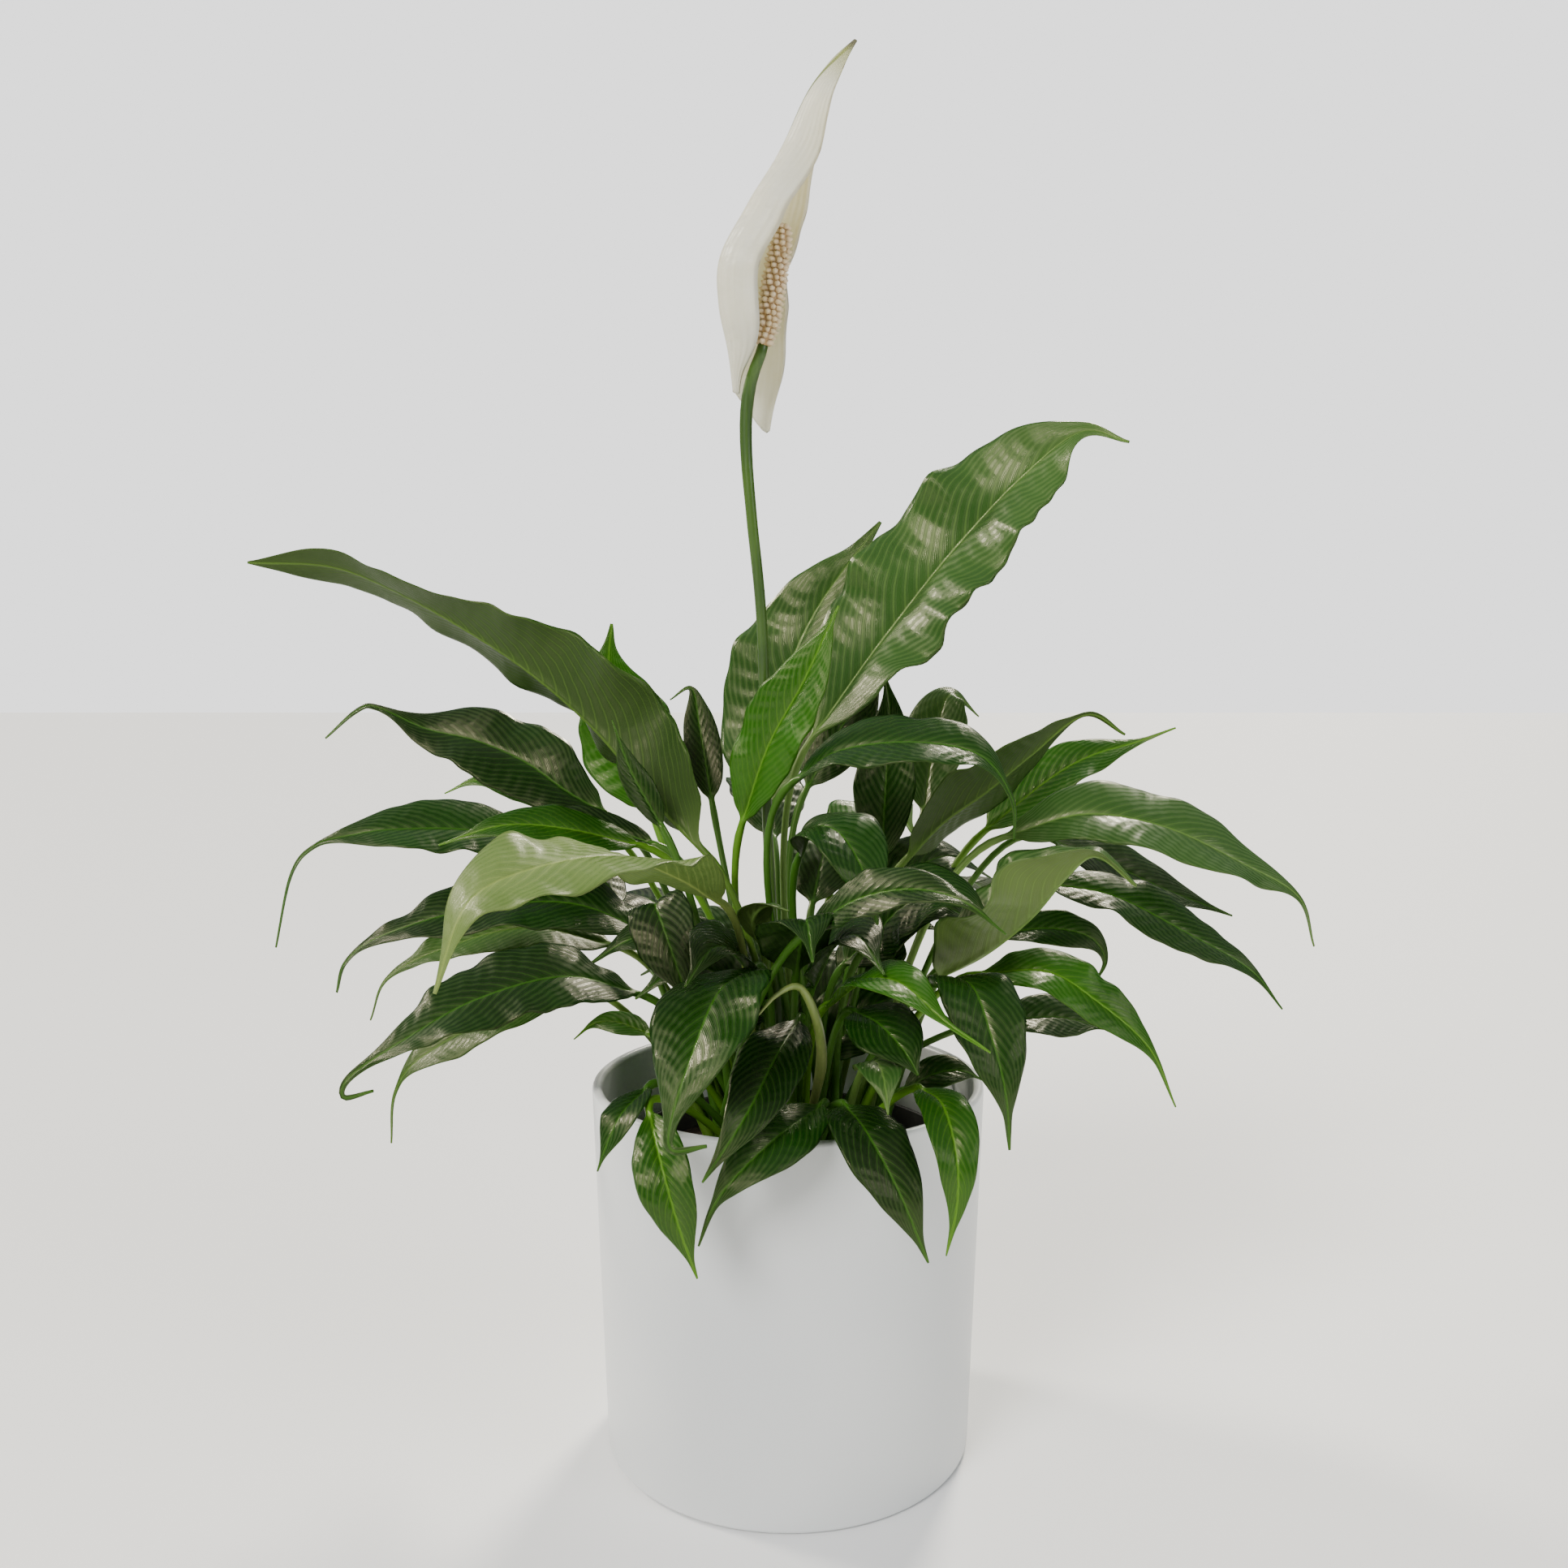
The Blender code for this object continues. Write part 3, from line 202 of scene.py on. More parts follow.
    ("back_high", ((-6, 84, 236), (-10, 112, 256), (-14, 142, 256), (-16, 172, 232)),
     19, ((0, 0.1, 1), (0, 0.6, 0.8)), 14, 0.14, 1.0, "dark"),
    ("back_right_low", ((50, 66, 204), (70, 92, 216), (92, 118, 210), (108, 136, 186)),
     18, ((0.1, 0.1, 1), (0.5, 0.6, 0.7)), 14, 0.14, 1.0, "dark"),
    ("back_right_high", ((22, 72, 222), (36, 100, 246), (52, 128, 246), (66, 150, 226)),
     18, ((0.1, 0.1, 1), (0.3, 0.6, 0.8)), 14, 0.14, 1.0, "bright"),
    ("back_left_low", ((-46, 68, 196), (-66, 94, 208), (-90, 120, 200), (-108, 140, 174)),
     18, ((-0.1, 0.1, 1), (-0.5, 0.6, 0.7)), 14, 0.14, 1.0, "dark"),
    ("back_left_wide", ((-72, 60, 210), (-98, 86, 224), (-126, 106, 222), (-148, 120, 200)),
     17, ((-0.1, 0.1, 1), (-0.5, 0.5, 0.7)), 14, 0.14, 1.0, "dark"),
)

# Flower and rolled new leaf (mm).
STALK_ROUTE = ((-1, 0, 121), (-4, 1, 180), (-8, 2, 250), (-10, 0, 328), (-14, -1, 372), (-16, 0, 396),
               (-16, 0, 412), (-14, -1, 424), (-10, -4, 434), (-9, -4, 438))
STALK_RADII = ((0, 2.4), (0.3, 2.0), (0.8, 2.1), (0.93, 2.5), (1.0, 2.0))  # place along the route, radius
SPADIX_BASE = (-9.4, -4.0, 436.0)
SPADIX_TIP = (-1.5, -5.0, 480.0)
SPADIX_RADIUS = 3.7
KNOB_ROWS = 21
KNOB_PITCH = 2.6           # between knobs round a row
KNOB_SIZE = 1.36
CORE_RINGS = 24
CORE_SIDES = 24
SPATHE_RIB = ((-21, 6, 421), (-22.5, 4.5, 437), (-25, 2, 453), (-24.5, 0, 468), (-15.5, -1, 486),
              (-2, -3, 509),
              (9, -5, 530), (25, -3, 547))
SPATHE_HALF_WIDTH = 30.0
SPATHE_FACES = ((0.9, -0.45, 0.1), (0.87, -0.5, -0.05), (0.9, -0.35, -0.3), (0.85, 0.25, -0.4),
                (0.5, 0.8, -0.3))
SPATHE_FOLD = 8.0
SPATHE_CURL = 112.0
SPATHE_OUTLINE = ((0.0, 0.52), (0.10, 0.80), (0.22, 0.98), (0.34, 1.0), (0.50, 0.86),
                  (0.66, 0.60), (0.80, 0.42), (0.90, 0.22), (0.96, 0.08), (1.0, 0.03))
SPATHE_NEAR_SHARE = 0.3    # the near half's width at the base, against the far half's
SPATHE_NEAR_RUN = 0.2      # the near half reaches its full width over this first part
SPATHE_FLAT_RUN = 0.3      # the halves uncurl over this last part
SPATHE_LOBE_DROP = 20.0
SPATHE_LOBE_RUN = 0.3
NEW_LEAF_ROUTE = ((5, -16, 122), (9, -34, 150), (12, -48, 172), (10, -57, 190), (4, -62, 203), (-4, -68, 202),
                  (-11, -72, 195))
NEW_LEAF_RADII = ((0, 1.7), (0.3, 1.5), (0.5, 2.1), (0.75, 1.6), (0.92, 0.8), (1.0, 0.2))

# Pots (mm).
POT_HEIGHT = 146.0
POT_RIM_RADIUS = 77.5
POT_BASE_RADIUS = 72.5
POT_WALL = 4.0
POT_FLOOR = 5.0
GROW_TOP_Z = 120.0
GROW_TOP_RADIUS = 65.5
GROW_BASE_RADIUS = 52.0
GROW_FOOT_Z = 5.4
GROW_WALL = 1.6
GROW_FLOOR = 2.0
MIX_TOP_Z = 109.0
MIX_RADIUS = 62.0
MIX_DEPTH = 60.0
MIX_MOUND = 4.0            # the middle stands this much higher
MIX_RINGS = 26
MIX_RING_WIDTH = 2.3
CRUMBS = (("bark_crumbs", 420, 0.9, 2.6), ("perlite_crumbs", 110, 0.7, 1.6))  # amount, smallest, largest

# Camera (m, degrees down, mm) and suns: where from, width in degrees, power, tint.
CAMERA_PLACE = (-0.0016, -0.547, 0.314)
CAMERA_DIP = 5.3
LENS = 32.2
SUNS = (("key_sun", (-0.65, -1.0, 0.85), 24.0, 3.0, (1.0, 0.985, 0.95)),
        ("side_sun", (1.0, -0.6, 0.55), 24.0, 0.9, (0.94, 0.97, 1.0)),
        ("back_sun", (0.35, 1.0, 0.95), 11.0, 3.4, (1.0, 0.94, 0.80)),
        ("left_sun", (-1.0, 0.45, 0.75), 11.0, 2.4, (1.0, 0.94, 0.82)))

# Leaf finishes: name, deep green, fresh green, rib, underside, gloss, light let through.
LEAF_FINISHES = {
    "dark": ("leaf_deep_green", (0.0012, 0.011, 0.001), (0.005, 0.044, 0.002), (0.045, 0.150, 0.010),
             (0.012, 0.040, 0.005), 0.17, (0.05, 0.24, 0.01)),
    "bright": ("leaf_fresh_green", (0.004, 0.042, 0.001), (0.028, 0.150, 0.003), (0.110, 0.270, 0.014),
               (0.040, 0.120, 0.010), 0.16, (0.16, 0.48, 0.01)),
    "olive": ("leaf_olive_green", (0.006, 0.034, 0.002), (0.026, 0.088, 0.005), (0.090, 0.190, 0.020),
              (0.013, 0.046, 0.004), 0.20, (0.08, 0.26, 0.01)),
    "pale": ("leaf_grey_green", (0.012, 0.050, 0.008), (0.042, 0.110, 0.020), (0.140, 0.260, 0.050),
             (0.075, 0.130, 0.026), 0.16, (0.14, 0.30, 0.03)),
    "rolled": ("leaf_young_green", (0.060, 0.125, 0.022), (0.190, 0.260, 0.080), (0.260, 0.340, 0.080),
               (0.085, 0.150, 0.030), 0.20, (0.25, 0.42, 0.05)),
}

# Leaves whose finish is unlike the others of their colour.
OWN_FINISHES = {"front_left_rolled": "rolled", "right_saddle": "pale"}

# Short leaves in the shade of the others: how many, and their arch (mm out, mm up).
INNER_LEAVES = 14
INNER_ARCH = ((0, 0), (16, 18), (36, 26), (56, 16))
GOLDEN_ANGLE = math.radians(137.508)


# ---------------------------------------------------------------- shader maths

class Wire:
    """A socket that adds, subtracts and multiplies like a number."""

    def __init__(self, maker, socket):
        self.maker = maker
        self.socket = socket

    def math(self, operation, other=None, swap=False, clamp=False):
        values = [self] if other is None else ([other, self] if swap else [self, other])
        return self.maker.node("Math", {"operation": operation, "use_clamp": clamp}, dict(enumerate(values)))

    def __add__(self, other):
        return self.math("ADD", other)

    __radd__ = __add__

    def __sub__(self, other):
        return self.math("SUBTRACT", other)

    def __rsub__(self, other):
        return self.math("SUBTRACT", other, swap=True)

    def __mul__(self, other):
        return self.math("MULTIPLY", other)

    __rmul__ = __mul__

    def sine(self):
        return self.math("SINE")

    def clamp(self):
        return self.math("ADD", 0.0, clamp=True)

    def rise(self, low, high):
        """0 below low, 1 above high, eased between."""
        return self.maker.node("MapRange", {"interpolation_type": "SMOOTHSTEP"},
                               {"Value": self, "From Min": low, "From Max": high})


class Finish:
    """A material under construction."""

    def __init__(self, name, tree=None):
        self.tree = tree
        if tree is None:
            self.material = bpy.data.materials.new(name)
            self.material.use_nodes = True
            self.tree = self.material.node_tree
            self.shader = self.tree.nodes["Principled BSDF"]
            self.output = self.tree.nodes["Material Output"]

    def node(self, kind, settings=None, sockets=None, out=0):
        """Any node: its type, its settings, then the values or links of its sockets."""
        node = self.tree.nodes.new("ShaderNode" + kind)
        for key, value in (settings or {}).items():
            setattr(node, key, value)
        for key, value in (sockets or {}).items():
            self.feed(node.inputs[key], value)
        return Wire(self, node.outputs[out])

    def feed(self, socket, value):
        if isinstance(value, Wire):
            self.tree.links.new(value.socket, socket)
        elif isinstance(value, tuple) and len(value) == 3 and socket.type == "RGBA":
            socket.default_value = (*value, 1.0)
        else:
            socket.default_value = value

    def mix(self, factor, first, second):
        """A colour between two, by the factor."""
        return self.node("Mix", {"data_type": "RGBA"}, {0: factor, 6: first, 7: second}, out=2)

    def attribute(self, name):
        return self.node("Attribute", {"attribute_name": name}, out="Fac")

    def place(self):
        return self.node("TexCoord", out="Object")

    def noise(self, scale, detail=2.0, rough=0.5, at=None):
        return self.node("TexNoise", None, {"Vector": at or self.place(), "Scale": scale, "Detail": detail,
                                            "Roughness": rough})

    def bump(self, height, strength, distance):
        return self.node("Bump", None, {"Height": height, "Strength": strength, "Distance": distance})

    def set(self, **sockets):
        for key, value in sockets.items():
            self.feed(self.shader.inputs[key.replace("_", " ")], value)

    def see_through(self, share, colour):
        """Let some light through the sheet, tinted."""
        glow = self.node("BsdfTranslucent", None, {"Color": colour})
        both = self.node("MixShader", None, {0: share})
        mix = both.socket.node
        self.tree.links.new(self.shader.outputs[0], mix.inputs[1])
        self.tree.links.new(glow.socket, mix.inputs[2])
        self.tree.links.new(both.socket, self.output.inputs["Surface"])


# ---------------------------------------------------------------- finishes

def leaf_finish(name, deep, fresh, rib, beneath, gloss, glow):
    """Living leaf: deep and fresh greens over the blade, a paler midrib, a thin pale margin line as a
    painted highlight, side veins quilted with painted shade towards their furrows, a duller underside."""
    finish = Finish(name)
    off = finish.attribute("off_rib")          # mm from the midrib
    edge = finish.attribute("off_edge")        # mm from the margin
    vein = finish.attribute("vein")            # counts the side veins
    under = finish.attribute("under")          # 1 on the underside
    blade = finish.attribute("blade")          # 0 on the stalk
    tone = finish.attribute("tone")            # this leaf's own shade
    wave = (vein * TURN).sine()
    fine = (vein * (6.0 * TURN) + 0.7).sine()
    patch = finish.noise(22.0, 3.0, 0.55)
    speck = finish.noise(420.0, 3.0, 0.65)
    furrow = (wave * -1.0).rise(0.82, 1.0)
    fresh_share = (patch.rise(0.38, 0.72) * 0.45 + tone * 0.6 + 0.22).clamp()
    green = finish.mix(fresh_share, deep, fresh)
    # Painted shade: the quilt bulges a little fresher green, darker towards the vein furrows.
    green = finish.mix((wave * 0.5 + 0.5) * 0.12, green, fresh)
    green = finish.mix(furrow * 0.32, green, rib)
    green = finish.mix(fine.rise(0.5, 1.0) * 0.07, green, rib)
    green = finish.mix(speck.rise(0.5, 0.8) * 0.10, green, fresh)
    lower = finish.mix(patch.rise(0.3, 0.8) * 0.5, beneath, finish.mix(0.5, beneath, deep))
    lower = finish.mix(furrow * 0.30, lower, rib)
    colour = finish.mix(under, green, lower)
    colour = finish.mix((1.0 - off.rise(0.4, 4.0)) * 0.10, colour, rib)
    colour = finish.mix((1.0 - off.rise(0.25, 0.65)) * 0.60, colour, rib)
    # Painted highlight: a thin pale line along the margin, standing in for light through the thin edge.
    colour = finish.mix((1.0 - edge.rise(0.05, 0.35)) * 0.25, colour, rib)
    colour = finish.mix((1.0 - blade) * 0.35, colour, rib)
    finish.set(Base_Color=colour)
    dull = 1.0 - wave.rise(-0.3, 0.7)
    finish.set(Roughness=(patch * 0.08 + speck * 0.14 + under * 0.18 + dull * 0.16 + gloss - 0.04).clamp())
    relief = fine * 0.10 + finish.noise(520.0, 3.0, 0.6) * 0.55
    finish.set(Normal=finish.bump(relief * blade, 0.35, 0.0003))
    finish.set(Specular_IOR_Level=0.42, Specular_Tint=(1.0, 0.90, 0.58))
    finish.see_through(0.10, glow)
    return finish.material


def stalk_finish(name, deep, fresh, pale):
    """Smooth green stalk, faintly ribbed along its length."""
    finish = Finish(name)
    long_grain = finish.node("Mapping", None, {"Vector": finish.place(), "Scale": (900.0, 900.0, 12.0)})
    grain = finish.noise(1.0, 3.0, 0.55, at=long_grain)
    patch = finish.noise(30.0, 2.0)
    colour = finish.mix(patch.rise(0.3, 0.7), deep, fresh)
    colour = finish.mix(grain.rise(0.4, 0.8) * 0.25, colour, pale)
    finish.set(Base_Color=colour, Roughness=grain * 0.15 + 0.30)
    finish.set(Normal=finish.bump(grain, 0.35, 0.0003))
    finish.set(Subsurface_Weight=0.08, Subsurface_Radius=(0.002, 0.003, 0.001))
    return finish.material


def spathe_finish():
    """Creamy white hood with fine long veins, green along the midrib and at the tip."""
    finish = Finish("spathe_cream")
    off = finish.attribute("off_rib")
    edge = finish.attribute("off_edge")
    vein = finish.attribute("vein")
    along = finish.attribute("blade")
    under = finish.attribute("under")
    patch = finish.noise(40.0, 3.0, 0.55)
    lines = (vein * TURN).sine()
    colour = finish.mix(patch.rise(0.3, 0.8), (0.90, 0.89, 0.80), (0.85, 0.82, 0.66))
    colour = finish.mix((1.0 - under) * along.rise(0.25, 0.5) * 0.45, colour, (0.86, 0.76, 0.48))
    colour = finish.mix(lines.rise(0.3, 1.0) * 0.10, colour, (0.72, 0.76, 0.52))
    tip = along.rise(0.84, 0.97)
    near_rib = 1.0 - off.rise(0.45, 1.2)
    colour = finish.mix(near_rib * along.rise(0.55, 0.78) * 0.95, colour, (0.10, 0.17, 0.02))
    colour = finish.mix(tip * 0.70, colour, (0.34, 0.38, 0.08))
    colour = finish.mix(along.rise(0.955, 0.99), colour, (0.10, 0.10, 0.06))
    spots = finish.noise(180.0, 1.0, 0.4)
    browned = (1.0 - edge.rise(0.0, 0.6)) * spots.rise(0.62, 0.70)
    colour = finish.mix(browned * 0.8, colour, (0.25, 0.15, 0.05))
    finish.set(Base_Color=colour, Roughness=patch * 0.15 + 0.36)
    crease = finish.node("Mapping", None, {"Vector": finish.place(), "Scale": (1.0, 1.0, 2.2),
                                           "Rotation": (0.0, 0.7, 0.0)})
    relief = lines * 0.12 + finish.noise(55.0, 3.0, 0.55, at=crease) * 2.0
    finish.set(Normal=finish.bump(relief, 0.6, 0.0012))
    finish.see_through(0.30, (0.90, 0.88, 0.66))
    return finish.material


def spadix_finish():
    """Matte cream-tan knobs, paler at their points, with painted shade darkening the gaps between them."""
    finish = Finish("spadix_tan")
    knob_height_for_gap_shade = finish.attribute("knob")
    patch = finish.noise(120.0, 2.0)
    # Painted shade: darker tan down in the gaps between the knobs and on the core.
    colour = finish.mix(knob_height_for_gap_shade.rise(0.1, 0.9), (0.42, 0.27, 0.12), (0.74, 0.60, 0.40))
    colour = finish.mix(patch.rise(0.4, 0.8) * 0.4, colour, (0.62, 0.50, 0.27))
    finish.set(Base_Color=colour, Roughness=patch * 0.2 + 0.42)
    finish.set(Normal=finish.bump(finish.noise(900.0, 2.0), 0.25, 0.0003))
    finish.set(Subsurface_Weight=0.15, Subsurface_Radius=(0.003, 0.002, 0.001))
    return finish.material


def pot_finish():
    """White satin glaze: almost even, with a soft orange-peel sheen."""
    finish = Finish("white_glaze")
    patch = finish.noise(9.0, 2.0, 0.5)
    colour = finish.mix(patch.rise(0.3, 0.7), (0.62, 0.640, 0.645), (0.67, 0.685, 0.680))
    finish.set(Base_Color=colour, Roughness=finish.noise(60.0, 2.0) * 0.08 + 0.30)
    finish.set(Normal=finish.bump(finish.noise(220.0, 2.0, 0.4), 0.08, 0.0003))
    return finish.material


def grained_finish(name, grain, ends, dark, light, rough, relief):
    """Two tones of one grain, which also sets the gloss and the relief."""
    finish = Finish(name)
    grain = finish.noise(*grain)
    finish.set(Base_Color=finish.mix(grain.rise(*ends), dark, light), Roughness=grain * rough[0] + rough[1])
    finish.set(Normal=finish.bump(grain, *relief))
    return finish.material


def grow_pot_finish():
    """Dark moulded plastic, scuffed a little."""
    return grained_finish("dark_plastic", (70.0, 4.0, 0.65), (0.5, 0.8), (0.030, 0.028, 0.026),
                          (0.075, 0.070, 0.062), (0.25, 0.40), (0.2, 0.0004))


def mix_finish():
    """Damp dark potting mix."""
    return grained_finish("damp_mix", (160.0, 5.0, 0.7), (0.35, 0.7), (0.012, 0.007, 0.004),
                          (0.060, 0.036, 0.020), (0.3, 0.60), (0.8, 0.002))


def crumb_finish(name, dark, light):
    """Rough bark or perlite."""
    return grained_finish(name, (400.0, 3.0, 0.6), (0.3, 0.7), dark, light, (0.2, 0.65), (0.6, 0.0006))


# ---------------------------------------------------------------- making things

def start_clean():
    """Nothing selected, nothing in edit mode."""
    if bpy.context.mode != "OBJECT":
        bpy.ops.object.mode_set(mode="OBJECT")
    bpy.ops.object.select_all(action="DESELECT")


def finish_piece(obj, name, material, slot, *nodes):
    """Name a piece, give it its finish and tie it to the frame."""
    obj.name = name
    obj.data.name = name
    obj.data.materials.clear()
    obj.data.materials.append(material)
    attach(obj, "root")
    if nodes:
        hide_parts(*nodes)
    return obj


def add_object(name, data):
    """A new object in the scene."""
    obj = bpy.data.objects.new(name, data)
    bpy.context.scene.collection.objects.link(obj)
    return obj


def points_of(mesh):
    """A mesh's points, one row each."""
    points = np.empty(len(mesh.vertices) * 3)
    mesh.vertices.foreach_get("co", points)
    return points.reshape(-1, 3)


def pick(obj, kind, test):
    """In edit mode, select only the faces or edges that pass the test."""
    bpy.ops.mesh.select_all(action="DESELECT")
    mesh = bmesh.from_edit_mesh(obj.data)
    for part in getattr(mesh, kind):
        part.select = test(part)
    bmesh.update_edit_mesh(obj.data)


def leave_edit(outwards=False):
    """Back to object mode, with the faces turned outwards first where asked."""
    if outwards:
        bpy.ops.mesh.select_all(action="SELECT")
        bpy.ops.mesh.normals_make_consistent(inside=False)
    bpy.ops.object.mode_set(mode="OBJECT")


def bead():
    """Corners and faces of a small ball, for what is made of many."""
    start_clean()
    bpy.ops.mesh.primitive_ico_sphere_add(subdivisions=1, radius=1.0)
    ball = bpy.context.object
    corners = points_of(ball.data)
    faces = np.array([polygon.vertices[:] for polygon in ball.data.polygons])
    bpy.ops.object.delete()
    return corners, faces


def leaf_pattern():
    """A tube of length 1 along Z and radius 1, cut into bands, that the leaves are copies of."""
    start_clean()
    bpy.ops.mesh.primitive_cylinder_add(vertices=AROUND, radius=1.0, depth=1.0, location=(0, 0, 0.5),
                                        end_fill_type="TRIFAN")
    pattern = bpy.context.object
    bpy.ops.object.mode_set(mode="EDIT")
    for shortest, cuts in ((0.5, BANDS // 2 - 1), (0.5 / BANDS, 1)):
        pick(pattern, "edges", lambda edge: abs(edge.verts[0].co.z - edge.verts[1].co.z) > shortest)
        bpy.ops.mesh.subdivide(number_cuts=cuts)
    leave_edit(outwards=True)
    bpy.ops.object.transform_apply(location=True, rotation=True, scale=True)
    bpy.ops.object.shade_smooth()
    return pattern


def unit(vectors):
    return vectors / np.maximum(np.linalg.norm(vectors, axis=-1, keepdims=True), 1e-9)


def smoothstep(values):
    values = np.clip(values, 0.0, 1.0)
    return values * values * (3.0 - 2.0 * values)


def smooth_curve(points, count):
    """A Catmull-Rom curve through the points, sampled at equal lengths."""
    points = np.array(points, float) - TABLE_LEVEL
    padded = np.vstack([2 * points[0] - points[1], points, 2 * points[-1] - points[-2]])
    t = np.linspace(0.0, 1.0, 24, endpoint=False)[:, None]
    dense = []
    for p0, p1, p2, p3 in zip(padded, padded[1:], padded[2:], padded[3:]):
        dense.append(0.5 * (2 * p1 + (p2 - p0) * t + (2 * p0 - 5 * p1 + 4 * p2 - p3) * t ** 2
                            + (3 * p1 - p0 - 3 * p2 + p3) * t ** 3))
    dense = np.vstack(dense + [points[-1:]])
    lengths = np.concatenate([[0.0], np.cumsum(np.linalg.norm(np.diff(dense, axis=0), axis=1))])
    wanted = np.linspace(0.0, lengths[-1], count)
    return np.stack([np.interp(wanted, lengths, dense[:, axis]) for axis in range(3)], 1), lengths[-1]


def petiole_curve(root, base, direction, shares):
    """A stalk that leaves the crown upright and meets the blade along its rib."""
    reach = np.linalg.norm(base - root)
    start = np.array([(base[0] - root[0]) * 0.5, (base[1] - root[1]) * 0.5, reach])
    end = direction * reach * 0.7
    t = shares[:, None]
    return (root * (2 * t ** 3 - 3 * t ** 2 + 1) + start * (t ** 3 - 2 * t ** 2 + t)
            + base * (3 * t ** 2 - 2 * t ** 3) + end * (t ** 3 - t ** 2))


def blend_vectors(vectors, shares):
    """Directions read along a short list of directions spread evenly over 0..1."""
    vectors = np.array(vectors, float)
    scaled = np.clip(shares, 0.0, 1.0) * (len(vectors) - 1)
    first = np.minimum(scaled.astype(int), len(vectors) - 2)
    ease = smoothstep(scaled - first)[:, None]
    return vectors[first] * (1.0 - ease) + vectors[first + 1] * ease


def soften(values, rounds):
    """Ease the corners out of a row of values, keeping both ends."""
    values = values.copy()
    for _ in range(rounds):
        values[1:-1] = values[1:-1] * 0.5 + (values[:-2] + values[2:]) * 0.25
    return values


def across_shape(fold, curl, share):
    """Offset of a blade's half at a share of its width: out along the side, and up."""
    turned = fold + curl * share
    small = np.abs(curl) < 1e-4
    safe = np.where(small, 1.0, curl)
    out = np.where(small, share * np.cos(fold), (np.sin(turned) - np.sin(fold)) / safe)
    up = np.where(small, share * np.sin(fold), (np.cos(fold) - np.cos(turned)) / safe)
    return out, up


def across_and_up(tangent, hint):
    """At each ring, the direction the upper surface faces, and the one across it."""
    normal = unit(hint - tangent * (hint * tangent).sum(1, keepdims=True))
    return normal, np.cross(tangent, normal)


def ring_layout():
    """Across position (-1 to 1) and side (+1 top, -1 underside, 0 margin) round a ring."""
    half = np.array(ACROSS)
    top = np.concatenate([-half[::-1], half[1:]])
    across = np.concatenate([top, top[-2:0:-1]])
    side = np.concatenate([np.ones(len(top)), -np.ones(len(top) - 2)])
    side[0] = 0.0
    side[len(top) - 1] = 0.0
    return across, side


def root_of(node):
    """The middle of a leaf's lowest ring in the frame, in millimetres."""
    matrix = np.array(node.matrix_world)
    points = (points_of(node.data) @ matrix[:3, :3].T + matrix[:3, 3]) / MM
    points = np.unique(np.round(points, 3), axis=0)
    points = points[np.hypot(points[:, 0], points[:, 1]) < MIX_RADIUS]
    lowest = points[np.argsort(points[:, 2])[:8]]
    return lowest.mean(0)


def inner_rows():
    """Rows, with their roots, for the short dark leaves low in the middle that fill the shade."""
    rows = []
    for number in range(INNER_LEAVES):
        angle = number * GOLDEN_ANGLE
        away = np.array([math.cos(angle), math.sin(angle), 0.0])
        level = 158.0 + 62.0 * ((number * 5) % INNER_LEAVES) / INNER_LEAVES
        start = away * (10.0 + 12.0 * (number % 3))
        rib = [tuple(start + away * out + (0.0, 0.0, level + rise)) for out, rise in INNER_ARCH]
        faces = [tuple(away * lean + (0.0, -0.35, 1.0 - lean)) for lean in (0.1, 0.4, 0.7)]
        row = ("inner_%02d" % number, rib, 17.0, faces, 14, 0.12, 1.0, "dark")
        rows.append((row, np.append(start[:2] * 0.6, MIX_TOP_Z + 2.0)))
    return rows


def tube_address(pattern):
    """Band number and place round the ring of each of the pattern's points."""
    points = points_of(pattern.data)
    band = np.rint(points[:, 2] * BANDS).astype(int)
    angle = np.arctan2(points[:, 1], points[:, 0])
    place = np.rint(angle / TURN * AROUND).astype(int) % AROUND
    hub = np.hypot(points[:, 0], points[:, 1]) < 0.5
    return band, place, hub


def carry(pattern, address, name, rings, hubs, attributes):
    """Copy the pattern, put its points on the rings, and add the attributes the finish reads."""
    band, place, hub = address
    mesh = pattern.data.copy()
    piece = add_object(name, mesh)
    points = rings[band, place]
    points[hub] = np.where((band[hub] == 0)[:, None], hubs[0], hubs[1])
    mesh.vertices.foreach_set("co", (points * MM).ravel())
    for key, grid in attributes.items():
        layer = mesh.attributes.new(key, "FLOAT", "POINT")
        layer.data.foreach_set("value", grid[band, place].astype(np.float32))
    mesh.update()
    mesh.shade_smooth()
    return piece


def close_across(piece, address):
    """Swap the fan at a sheet's base for faces from one side of the sheet to the other."""
    band, place, hub = address
    mesh = bmesh.new()
    mesh.from_mesh(piece.data)
    mesh.verts.ensure_lookup_table()
    ring = {place[i]: mesh.verts[i] for i in np.flatnonzero((band == 0) & ~hub)}
    fan = [mesh.verts[i] for i in np.flatnonzero((band == 0) & hub)]
    for step in range(AROUND // 2):
        corners = [step, step + 1, AROUND - step - 1, (AROUND - step) % AROUND]
        mesh.faces.new([ring[spot] for spot in dict.fromkeys(corners)])
    bmesh.ops.delete(mesh, geom=fan, context="VERTS")
    bmesh.ops.recalc_face_normals(mesh, faces=mesh.faces)
    for face in mesh.faces:
        face.smooth = True
    mesh.to_mesh(piece.data)
    mesh.free()


def face_out(piece):
    """Turn a closed piece right side out."""
    mesh = bmesh.new()
    mesh.from_mesh(piece.data)
    if mesh.calc_volume(signed=True) < 0:
        bmesh.ops.reverse_faces(mesh, faces=mesh.faces)
        mesh.to_mesh(piece.data)
    mesh.free()


